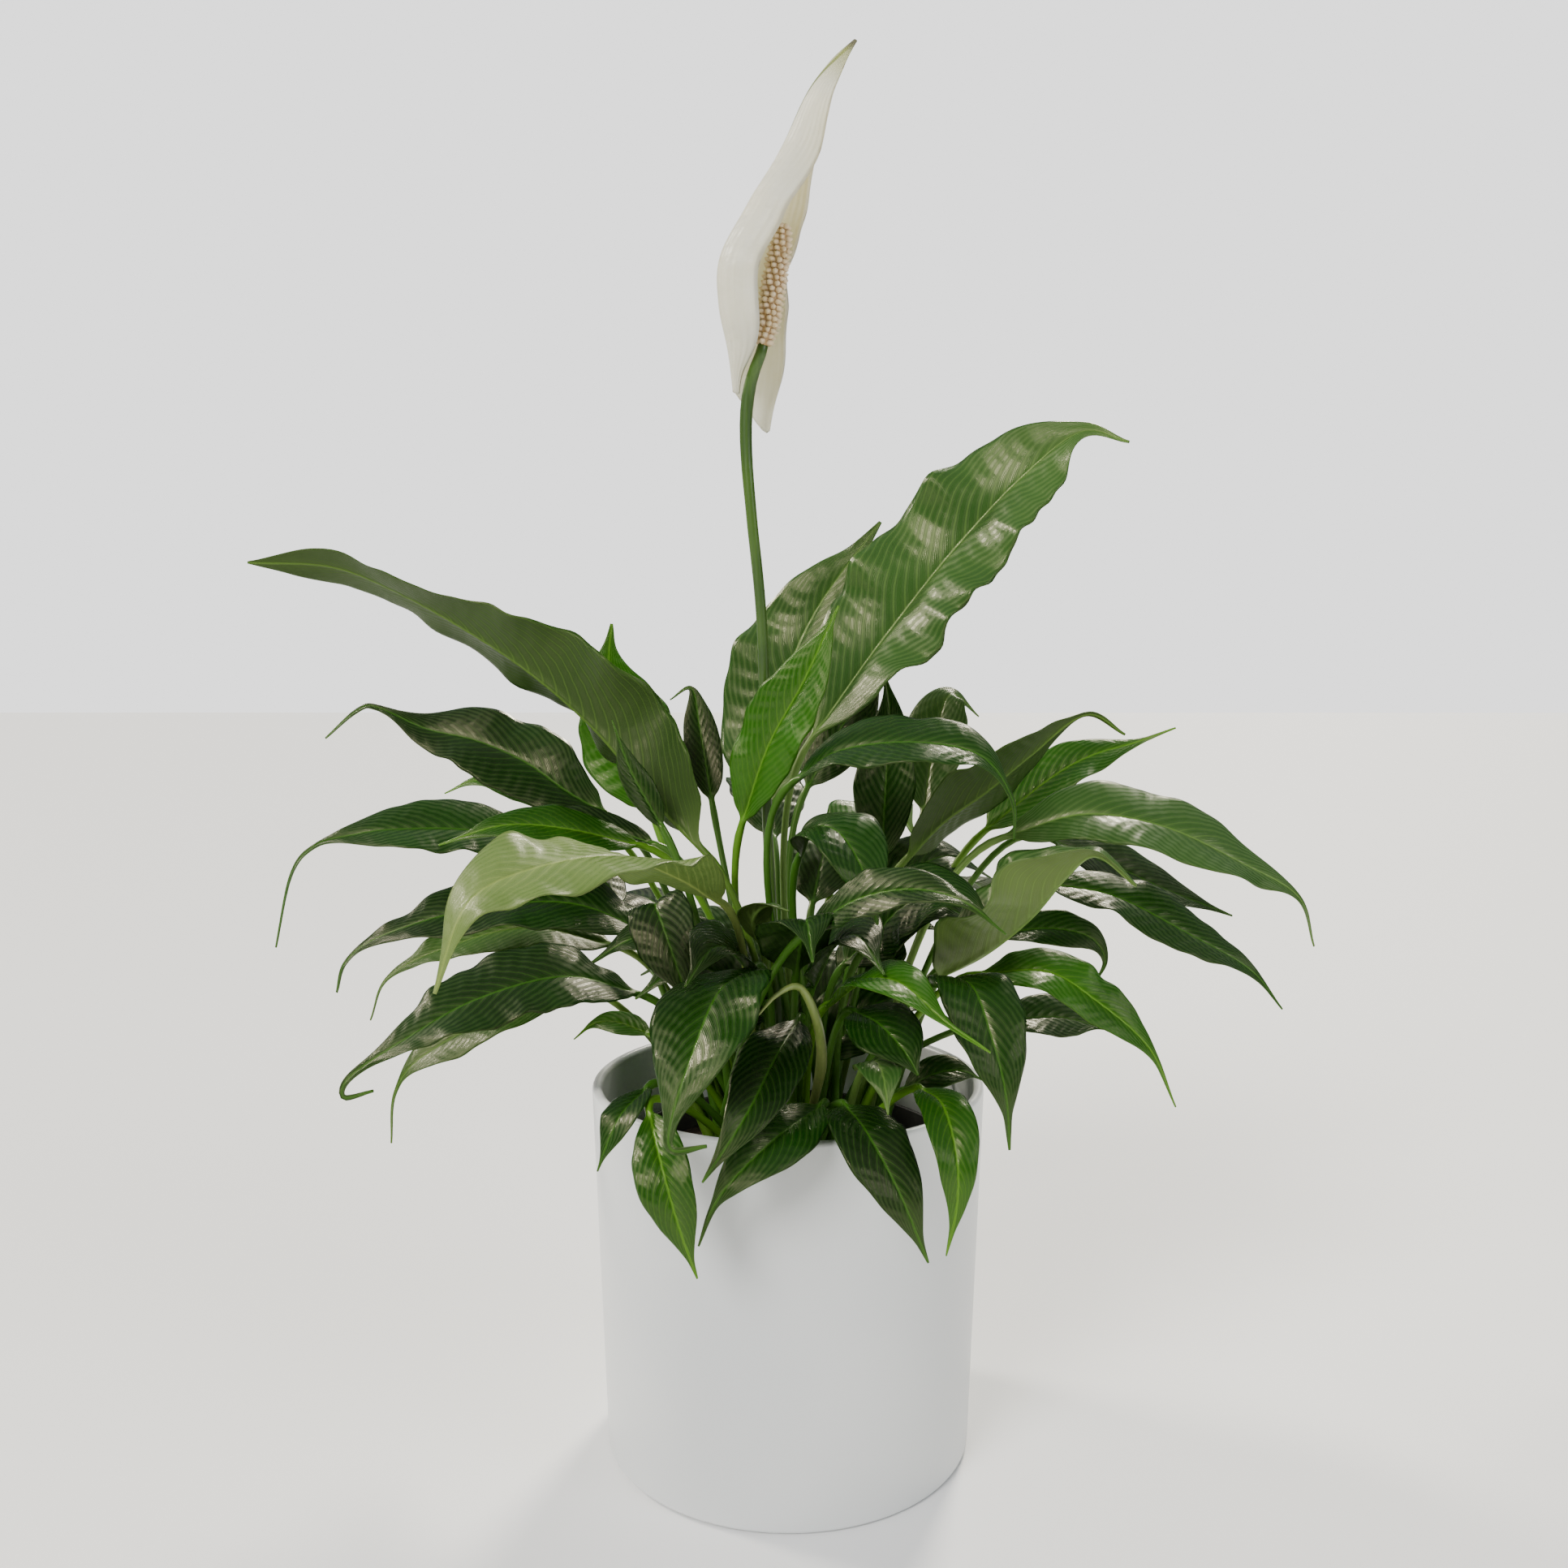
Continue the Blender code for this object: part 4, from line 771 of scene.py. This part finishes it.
def make_leaf(pattern, address, index, row, root, finishes, *nodes):
    """One leaf: stalk, blade with fold, waves, midrib and quilting, from its row."""
    name, rib, half_width, faces, fold_degrees, tail, fullness, look = row
    chance = np.random.default_rng(100 + index)
    blade, length = smooth_curve(rib, BLADE_BANDS + 1)
    direction = unit(blade[2] - blade[0])
    stalk = petiole_curve(root, blade[0], direction, np.linspace(0, 1, STALK_BANDS, endpoint=False))
    centre = np.vstack([stalk, blade])
    tangent = unit(np.gradient(centre, axis=0))
    share = np.linspace(0.0, 1.0, BLADE_BANDS + 1)
    hint = blend_vectors(faces, share)
    hint = np.vstack([np.repeat(hint[:1], STALK_BANDS, 0), hint])
    normal, side = across_and_up(tangent, hint)
    for ring in range(STALK_BANDS - 1, -1, -1):
        carried = normal[ring + 1] - tangent[ring] * (normal[ring + 1] @ tangent[ring])
        normal[ring] = unit(carried)
    side = np.cross(tangent, normal)

    if name in OWN_OUTLINES:
        outline = np.interp(share, *np.array(OWN_OUTLINES[name]).T)
    else:
        body = np.interp((np.minimum(share / (1.0 - tail), 1.0)) ** fullness, *np.array(OUTLINE).T)
        drip = np.interp(share, [1.0 - tail, 1.0], [OUTLINE[-1][1], TAIL_END_SHARE])
        outline = np.where(share > 1.0 - tail, drip, body)
    width = half_width * soften(outline, 10)
    across, layer = ring_layout()
    reach = np.abs(across)
    hand = np.sign(across)
    run = share * length
    fade = smoothstep(share / 0.12) * (width / half_width) ** 0.7
    if not isinstance(fold_degrees, tuple):
        fold_degrees = (fold_degrees, fold_degrees * 0.75)
    fold_places = np.linspace(0.0, 1.0, len(fold_degrees))
    fold = np.radians(np.interp(share, fold_places, fold_degrees))[:, None] * np.ones(AROUND)
    widths = width[:, None] * np.ones(AROUND)
    edge_wave = np.zeros((BLADE_BANDS + 1, AROUND))
    for sign in (-1, 1):
        this_half = hand == sign
        pitch = chance.uniform(22, 38)
        swell = 0.55 + 0.45 * np.sin(run / chance.uniform(40, 70) * TURN + chance.uniform(0, 6))
        swing = (np.sin(run / pitch * TURN + chance.uniform(0, 6))
                 + 0.45 * np.sin(run / pitch * 3.3 * math.pi + chance.uniform(0, 6))) * swell
        size = half_width * chance.uniform(0.03, 0.12)
        edge_wave += np.where(this_half, (swing * size * fade)[:, None] * reach ** 2.4, 0.0)
        ripple = (np.sin(run / (pitch * 1.3) * TURN + chance.uniform(0, 6)) * 0.035
                  + np.sin(run / (pitch * 0.45) * TURN + chance.uniform(0, 6)) * 0.018) * fade
        widths *= np.where(this_half, 1.0 + ripple[:, None], 1.0)
        sway = math.radians(6.0) * np.sin(run / 45.0 * TURN + chance.uniform(0, 6))
        fold = fold + np.where(this_half, sway[:, None], 0.0)
    curl = -1.6 * fold * (1.0 - np.abs(fold) / math.radians(60.0))
    out, up = across_shape(fold, curl, reach)
    lean = fold + curl * reach

    slant = half_width * (1.0 * reach + 1.0 * reach ** 2)
    spacing = VEIN_SPACING + VEIN_WIDER * half_width
    vein = (run[:, None] - slant) / spacing + 0.5 * (hand > 0)
    quilt = VEIN_RELIEF * np.sin(TURN * vein) * np.sin(math.pi * reach ** 0.8)
    quilt *= fade[:, None]

    from_rib = reach * widths
    rib_size = MIDRIB_DEPTH * (1.0 - 0.85 * share) ** 1.2
    ridge = np.exp(-(from_rib / (0.8 * rib_size[:, None] + 0.12)) ** 2)
    thick = BLADE_THICKNESS * (1.0 - 0.55 * reach ** 3) * np.ones_like(from_rib)
    top = thick / 2 - 0.35 * rib_size[:, None] * ridge
    bottom = -thick / 2 - 0.85 * rib_size[:, None] * ridge
    lift = np.where(layer > 0, top, np.where(layer < 0, bottom, 0.0)) + edge_wave + quilt

    offset_side = hand * (out * widths - np.sin(lean) * lift)
    offset_up = up * widths + np.where(reach > 0, np.cos(lean), 1.0) * lift

    turn = math.pi - np.arange(AROUND) * TURN / AROUND
    stalk_share = np.linspace(0, 1, STALK_BANDS, endpoint=False)
    thickness = STALK_RADIUS + (SHEATH_RADIUS - STALK_RADIUS) * (1.0 - smoothstep(stalk_share / 0.45))
    thickness = thickness + 0.25 * np.exp(-((stalk_share - 0.93) / 0.05) ** 2)
    thickness = np.concatenate([thickness, np.full(BLADE_BANDS + 1, STALK_RADIUS)])
    round_side = np.cos(turn) * thickness[:, None]
    round_up = np.sin(turn) * thickness[:, None]
    merge = smoothstep(share / 0.07)[:, None]
    ring_side = round_side.copy()
    ring_up = round_up.copy()
    ring_side[STALK_BANDS:] = round_side[STALK_BANDS:] * (1 - merge) + offset_side * merge
    ring_up[STALK_BANDS:] = round_up[STALK_BANDS:] * (1 - merge) + offset_up * merge
    rings = centre[:, None] + side[:, None] * ring_side[..., None] + normal[:, None] * ring_up[..., None]

    def whole(values, before):
        on_blade = np.broadcast_to(values, (BLADE_BANDS + 1, AROUND))
        return np.vstack([np.full((STALK_BANDS, AROUND), before), on_blade])

    attributes = {
        "off_rib": whole(from_rib, 0.0),
        "off_edge": whole((1.0 - reach) * widths, 9.0),
        "vein": whole(vein, 0.0),
        "under": whole((layer < 0) * 1.0, 0.5),
        "blade": whole(smoothstep(share / 0.10)[:, None], 0.0),
        "tone": np.full((BANDS + 1, AROUND), chance.uniform(-0.5, 0.5)),
    }
    piece = carry(pattern, address, "leaf_" + name, rings, (centre[0], centre[-1]), attributes)
    face_out(piece)
    return finish_piece(piece, name + "_leaf", finishes[OWN_FINISHES.get(name, look)], "leaf_" + look, *nodes)


def make_spathe(pattern, address, material):
    """The hood: a blade whose halves curl round the spadix, with hanging lobes at its base."""
    centre, length = smooth_curve(SPATHE_RIB, BANDS + 1)
    tangent = unit(np.gradient(centre, axis=0))
    share = np.linspace(0.0, 1.0, BANDS + 1)
    hint = blend_vectors(SPATHE_FACES, share)
    normal, side = across_and_up(tangent, hint)
    width = SPATHE_HALF_WIDTH * soften(np.interp(share, *np.array(SPATHE_OUTLINE).T), 12)
    across, layer = ring_layout()
    reach = np.abs(across)
    hand = np.sign(across)
    fold = math.radians(SPATHE_FOLD)
    curl = math.radians(SPATHE_CURL) * np.minimum(1.0, (1.0 - share) / SPATHE_FLAT_RUN)[:, None]
    out, up = across_shape(fold, curl, reach)
    lean = fold + curl * reach
    run = share * length
    ripple = (np.sin(run / 17.0 * TURN)[:, None] * 0.4 + np.sin(run / 9.0 + 1.0)[:, None] * 0.3)
    ripple = ripple * reach ** 3 * (width / SPATHE_HALF_WIDTH)[:, None]
    lift = layer * np.minimum(0.35, width * 0.45)[:, None] * (1.0 - 0.6 * reach ** 2) + ripple
    near = SPATHE_NEAR_SHARE + (1.0 - SPATHE_NEAR_SHARE) * smoothstep(share / SPATHE_NEAR_RUN)
    scale = np.where(hand < 0, near[:, None], 1.0)
    offset_side = hand * (out * width[:, None] * scale - np.sin(lean) * lift)
    offset_up = up * width[:, None] * scale + np.where(reach > 0, np.cos(lean), 1.0) * lift
    drop = SPATHE_LOBE_DROP * np.maximum(0.0, 1.0 - share / SPATHE_LOBE_RUN)[:, None] ** 1.5 * scale ** 2
    drop = drop * 1.4 * reach ** 1.3 * (1.0 - 0.5 * reach ** 4)
    rings = (centre[:, None] + side[:, None] * offset_side[..., None] + normal[:, None] * offset_up[..., None]
             - tangent[:, None] * drop[..., None])
    shape = (BANDS + 1, AROUND)
    attributes = {
        "off_rib": np.broadcast_to(reach * width[:, None], shape),
        "off_edge": np.broadcast_to((1.0 - reach) * width[:, None], shape),
        "vein": np.broadcast_to(reach * 9.0, shape),
        "under": np.broadcast_to((layer < 0) * 1.0, shape),
        "blade": np.broadcast_to(share[:, None], shape),
    }
    piece = carry(pattern, address, "spathe_hood", rings, (centre[0], centre[-1]), attributes)
    close_across(piece, address)
    face_out(piece)
    return finish_piece(piece, "spathe_hood", material, "spathe", "spathe")


def tube_along(name, route, radii, material, slot, node):
    """A round stalk along a smooth route, its radius read along the way."""
    count = 60
    centre, _ = smooth_curve(route, count)
    curve = bpy.data.curves.new(name, "CURVE")
    curve.dimensions = "3D"
    curve.bevel_depth = MM
    curve.bevel_resolution = 6
    curve.use_fill_caps = True
    spline = curve.splines.new("POLY")
    spline.points.add(count - 1)
    spline.points.foreach_set("co", np.hstack([centre * MM, np.ones((count, 1))]).ravel())
    spline.points.foreach_set("radius", np.interp(np.linspace(0, 1, count), *np.array(radii).T))
    start_clean()
    obj = add_object(name, curve)
    obj.select_set(True)
    bpy.context.view_layer.objects.active = obj
    bpy.ops.object.convert(target="MESH")
    obj = bpy.context.object
    bpy.ops.object.mode_set(mode="EDIT")
    bpy.ops.mesh.select_all(action="SELECT")
    bpy.ops.mesh.remove_doubles(threshold=0.00001)
    leave_edit(outwards=True)
    bpy.ops.object.shade_smooth()
    return finish_piece(obj, name, material, slot, node)


def add_beads(name, points, polygons, more_faces=()):
    """An object from the points and faces of many beads."""
    mesh = bpy.data.meshes.new(name)
    mesh.from_pydata((np.vstack(points) * MM).tolist(), [], np.vstack(polygons).tolist() + list(more_faces))
    return add_object(name, mesh)


def core_radius(share):
    """Half the spadix's thickness without its knobs, from its base (0) to its tip (1)."""
    end = np.sqrt(np.clip(1.0 - share ** 7, 0.0, 1.0)) * (1.0 - 0.12 * share)
    return SPADIX_RADIUS * np.minimum(1.0, 0.62 + 2.2 * share) * end


def spadix_core(length, first):
    """Points and faces of the smooth core, its points numbered from the first."""
    stations = np.linspace(0.0, 1.0, CORE_RINGS)
    angles = np.arange(CORE_SIDES) * TURN / CORE_SIDES
    radii = np.maximum(core_radius(stations) - 0.4, 0.3)
    points = [[r * math.cos(a), r * math.sin(a), s * length] for s, r in zip(stations, radii) for a in angles]
    faces = []
    for low in range(first, first + (CORE_RINGS - 1) * CORE_SIDES, CORE_SIDES):
        for spot in range(CORE_SIDES):
            beside = (spot + 1) % CORE_SIDES
            faces.append((low + spot, low + beside, low + CORE_SIDES + beside, low + CORE_SIDES + spot))
    last = first + (CORE_RINGS - 1) * CORE_SIDES
    faces.append(tuple(range(first + CORE_SIDES - 1, first - 1, -1)))
    faces.append(tuple(range(last, last + CORE_SIDES)))
    return np.array(points), faces


def make_spadix(material):
    """A tapered core set with a spiral of pointed knobs."""
    base = Vector(SPADIX_BASE - TABLE_LEVEL)
    tip = Vector(SPADIX_TIP - TABLE_LEVEL)
    length = (tip - base).length
    turn = np.array((tip - base).to_track_quat("Z", "Y").to_matrix())
    corners, faces = bead()
    ahead = np.clip(corners[:, 0], 0, 1)
    spread = (1.0 - 0.55 * ahead ** 1.5)[:, None]
    forward = corners[:, :1] * (1.0 + 0.85 * ahead[:, None])
    along = np.array([0.0, 0.0, 1.0])
    chance = np.random.default_rng(7)
    points = []
    polygons = []
    for row in range(KNOB_ROWS):
        share = (row + 0.6) / KNOB_ROWS
        radius = core_radius(share)
        count = max(5, int(round(TURN * radius / KNOB_PITCH)))
        for step in range(count):
            angle = (step + 0.5 * (row % 2) + chance.uniform(-0.12, 0.12)) * TURN / count + row * 0.13
            outward = np.array([math.cos(angle), math.sin(angle), 0.0])
            aside = np.cross(along, outward)
            size = KNOB_SIZE * (0.9 + 0.2 * chance.random())
            knob = outward * forward + (aside * corners[:, 1:2] + along * corners[:, 2:] * 0.95) * spread
            polygons.append(faces + len(corners) * len(points))
            points.append(knob * size + outward * (radius - 0.25) + along * (share * length))
    core, core_faces = spadix_core(length, len(corners) * len(points))
    # How far out each point of a knob stands, which the finish reads to paint shade into the gaps.
    points_out = np.clip(corners[:, 0] * 0.5 + 0.5, 0, 1)
    heights = np.concatenate([np.tile(points_out, len(points)), np.zeros(len(core))])
    placed = np.vstack(points + [core]) @ turn.T + np.array(base)
    piece = add_beads("spadix_spike", placed, polygons, core_faces)
    layer = piece.data.attributes.new("knob", "FLOAT", "POINT")
    layer.data.foreach_set("value", heights.astype(np.float32))
    piece.data.shade_smooth()
    return finish_piece(piece, "spadix_spike", material, "spadix", "spadix")


def hollow_pot(name, bottom, top, radii, wall, floor, round_edge, material, slot):
    """A cylinder, tapered, hollowed from its top and with its edges rounded."""
    base_radius, top_radius = radii
    start_clean()
    bpy.ops.mesh.primitive_cylinder_add(vertices=160, radius=1.0, depth=(top - bottom) * MM,
                                        location=(0, 0, (bottom + top) / 2 * MM))
    pot = bpy.context.object
    bpy.ops.object.transform_apply(location=True, rotation=True, scale=True)
    bpy.ops.object.mode_set(mode="EDIT")
    mesh = bmesh.from_edit_mesh(pot.data)
    for vertex in mesh.verts:
        radius = top_radius if vertex.co.z > (top + bottom) / 2 * MM else base_radius
        vertex.co.xy = vertex.co.xy.normalized() * radius * MM
    bmesh.update_edit_mesh(pot.data)
    pick(pot, "faces", lambda face: face.normal.z > 0.9)
    bpy.ops.mesh.inset(thickness=wall * MM)
    bpy.ops.mesh.extrude_region_move(TRANSFORM_OT_translate={"value": (0, 0, (bottom + floor - top) * MM)})
    inner = (base_radius - wall) / (top_radius - wall)
    bpy.ops.transform.resize(value=(inner, inner, 1.0))
    pick(pot, "edges", lambda edge: len(edge.link_faces) == 2 and edge.calc_face_angle() > 0.9)
    bpy.ops.mesh.bevel(offset=round_edge * MM, segments=6, affect="EDGES")
    leave_edit(outwards=True)
    bpy.ops.object.shade_smooth_by_angle(angle=math.radians(40))
    return finish_piece(pot, name, material, slot, slot)


def mound(away):
    """How far the mix rises towards its middle, at a distance from it."""
    return MIX_MOUND * np.exp(-(away / 36.0) ** 4)


def make_mix(material, crumb_materials):
    """Lumpy surface of the mix, with bark and perlite crumbs pressed into it."""
    start_clean()
    bpy.ops.mesh.primitive_cylinder_add(vertices=96, radius=MIX_RADIUS * MM, depth=MIX_DEPTH * MM,
                                        location=(0, 0, (MIX_TOP_Z - MIX_DEPTH / 2) * MM))
    mix = bpy.context.object
    bpy.ops.object.transform_apply(location=True, rotation=True, scale=True)
    bpy.ops.object.mode_set(mode="EDIT")
    pick(mix, "faces", lambda face: face.normal.z > 0.9)
    for step in range(MIX_RINGS):
        bpy.ops.mesh.inset(thickness=MIX_RING_WIDTH * MM)
    bpy.ops.mesh.poke()
    leave_edit()
    points = points_of(mix.data) / MM
    radius = np.hypot(points[:, 0], points[:, 1])
    chance = np.random.default_rng(5)
    pitches = chance.uniform(0.15, 1.1, (2, 14))
    starts = chance.uniform(0, 6, (2, 14))
    sizes = chance.uniform(0.1, 0.6, 14)
    lumps = sum(np.sin(points[:, 0] * fx + px) * np.sin(points[:, 1] * fy + py) * size
                for fx, fy, px, py, size in zip(*pitches, *starts, sizes))
    on_top = points[:, 2] > MIX_TOP_Z - 1
    near_wall = np.clip((MIX_RADIUS + 2 - radius) / 10, 0, 1)
    points[:, 2] += np.where(on_top, (mound(radius) + lumps) * near_wall, 0.0)
    points[~on_top, :2] *= 0.86
    mix.data.vertices.foreach_set("co", (points * MM).ravel())
    mix.data.update()
    mix.data.shade_smooth()
    finish_piece(mix, "mix_surface", material, "potting_mix", "potting_mix")

    corners, faces = bead()
    for (name, amount, low, high), crumb_material in zip(CRUMBS, crumb_materials):
        points = []
        for number in range(amount):
            angle = chance.uniform(0, TURN)
            away = (MIX_RADIUS - 3.0) * math.sqrt(chance.uniform(0, 1))
            size = chance.uniform(low, high) * chance.uniform(0.5, 1.2, 3)
            shaped = corners * size * chance.uniform(0.75, 1.25, (len(corners), 1))
            twist = np.array(Matrix.Rotation(chance.uniform(0, 6.28), 3, "Z"))
            spot = (math.cos(angle) * away, math.sin(angle) * away, MIX_TOP_Z + mound(away) + 0.4)
            points.append(shaped @ twist.T + spot)
        piece = add_beads(name, points, [faces + len(corners) * number for number in range(amount)])
        finish_piece(piece, name, crumb_material, "potting_mix")


def make_stage():
    """Pale floor, soft wide lights from all round, and the camera."""
    start_clean()
    bpy.ops.mesh.primitive_plane_add(size=14.0, location=(0, 0, -0.0004))
    floor = bpy.context.object
    floor.name = "studio_floor"
    cover = Finish("pale_floor")
    cover.set(Base_Color=(0.86, 0.86, 0.86), Roughness=0.6)
    floor.data.materials.append(cover.material)

    world = bpy.context.scene.world or bpy.data.worlds.new("studio")
    bpy.context.scene.world = world
    world.use_nodes = True
    sky = Finish("studio", world.node_tree)
    upward = sky.node("SeparateXYZ", None, {0: sky.node("TexCoord", out="Generated")}, out="Z")
    glow = sky.mix(upward.rise(-0.1, 0.9), (0.10, 0.10, 0.10), (0.42, 0.43, 0.45))
    seen = sky.node("LightPath", out="Is Camera Ray")
    back = world.node_tree.nodes["Background"]
    sky.feed(back.inputs["Color"], sky.mix(seen, glow, (1.0, 1.0, 1.0)))
    sky.feed(back.inputs["Strength"], seen * 0.9 + 1.0)

    for name, place, wide, power, tint in SUNS:
        light = bpy.data.lights.new(name, "SUN")
        light.angle = math.radians(wide)
        light.energy = power
        light.color = tint
        lamp = add_object(name, light)
        lamp.location = place
        lamp.rotation_euler = Vector(place).to_track_quat("Z", "Y").to_euler()

    camera = bpy.data.cameras.new("camera")
    camera.sensor_width = 36.0
    camera.lens = LENS
    camera.clip_start = 0.02
    viewer = add_object("camera", camera)
    viewer.location = CAMERA_PLACE
    viewer.rotation_euler = (math.radians(90.0 - CAMERA_DIP), 0.0, 0.0)
    bpy.context.scene.camera = viewer


def main():
    make_stage()
    finishes = {look: leaf_finish(*values) for look, values in LEAF_FINISHES.items()}
    pattern = leaf_pattern()
    address = tube_address(pattern)
    for index, row in enumerate(LEAVES):
        node = "leaf_" + row[0]
        make_leaf(pattern, address, index, row, root_of(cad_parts[node]), finishes, node)
    for index, (row, root) in enumerate(inner_rows(), len(LEAVES)):
        make_leaf(pattern, address, index, row, root, finishes)
    make_spathe(pattern, address, spathe_finish())
    bpy.data.objects.remove(pattern, do_unlink=True)
    stalk = stalk_finish("flower_stalk_green", (0.020, 0.058, 0.003), (0.045, 0.105, 0.006),
                         (0.110, 0.210, 0.025))
    rolled = stalk_finish("rolled_leaf_green", (0.090, 0.150, 0.022), (0.200, 0.250, 0.070),
                          (0.330, 0.350, 0.140))
    tube_along("flower_stem", STALK_ROUTE, STALK_RADII, stalk, "stalk", "flower_stalk")
    tube_along("rolled_leaf", NEW_LEAF_ROUTE, NEW_LEAF_RADII, rolled, "new_leaf", "new_leaf")
    make_spadix(spadix_finish())
    hollow_pot("white_pot", 0.0, POT_HEIGHT, (POT_BASE_RADIUS, POT_RIM_RADIUS), POT_WALL, POT_FLOOR, 1.9,
               pot_finish(), "pot")
    hollow_pot("grow_pot_shell", GROW_FOOT_Z, GROW_TOP_Z, (GROW_BASE_RADIUS, GROW_TOP_RADIUS), GROW_WALL,
               GROW_FLOOR, 0.5, grow_pot_finish(), "grow_pot")
    make_mix(mix_finish(), (crumb_finish("bark_brown", (0.020, 0.010, 0.005), (0.110, 0.060, 0.028)),
                            crumb_finish("perlite_white", (0.45, 0.43, 0.38), (0.70, 0.68, 0.62))))


main()
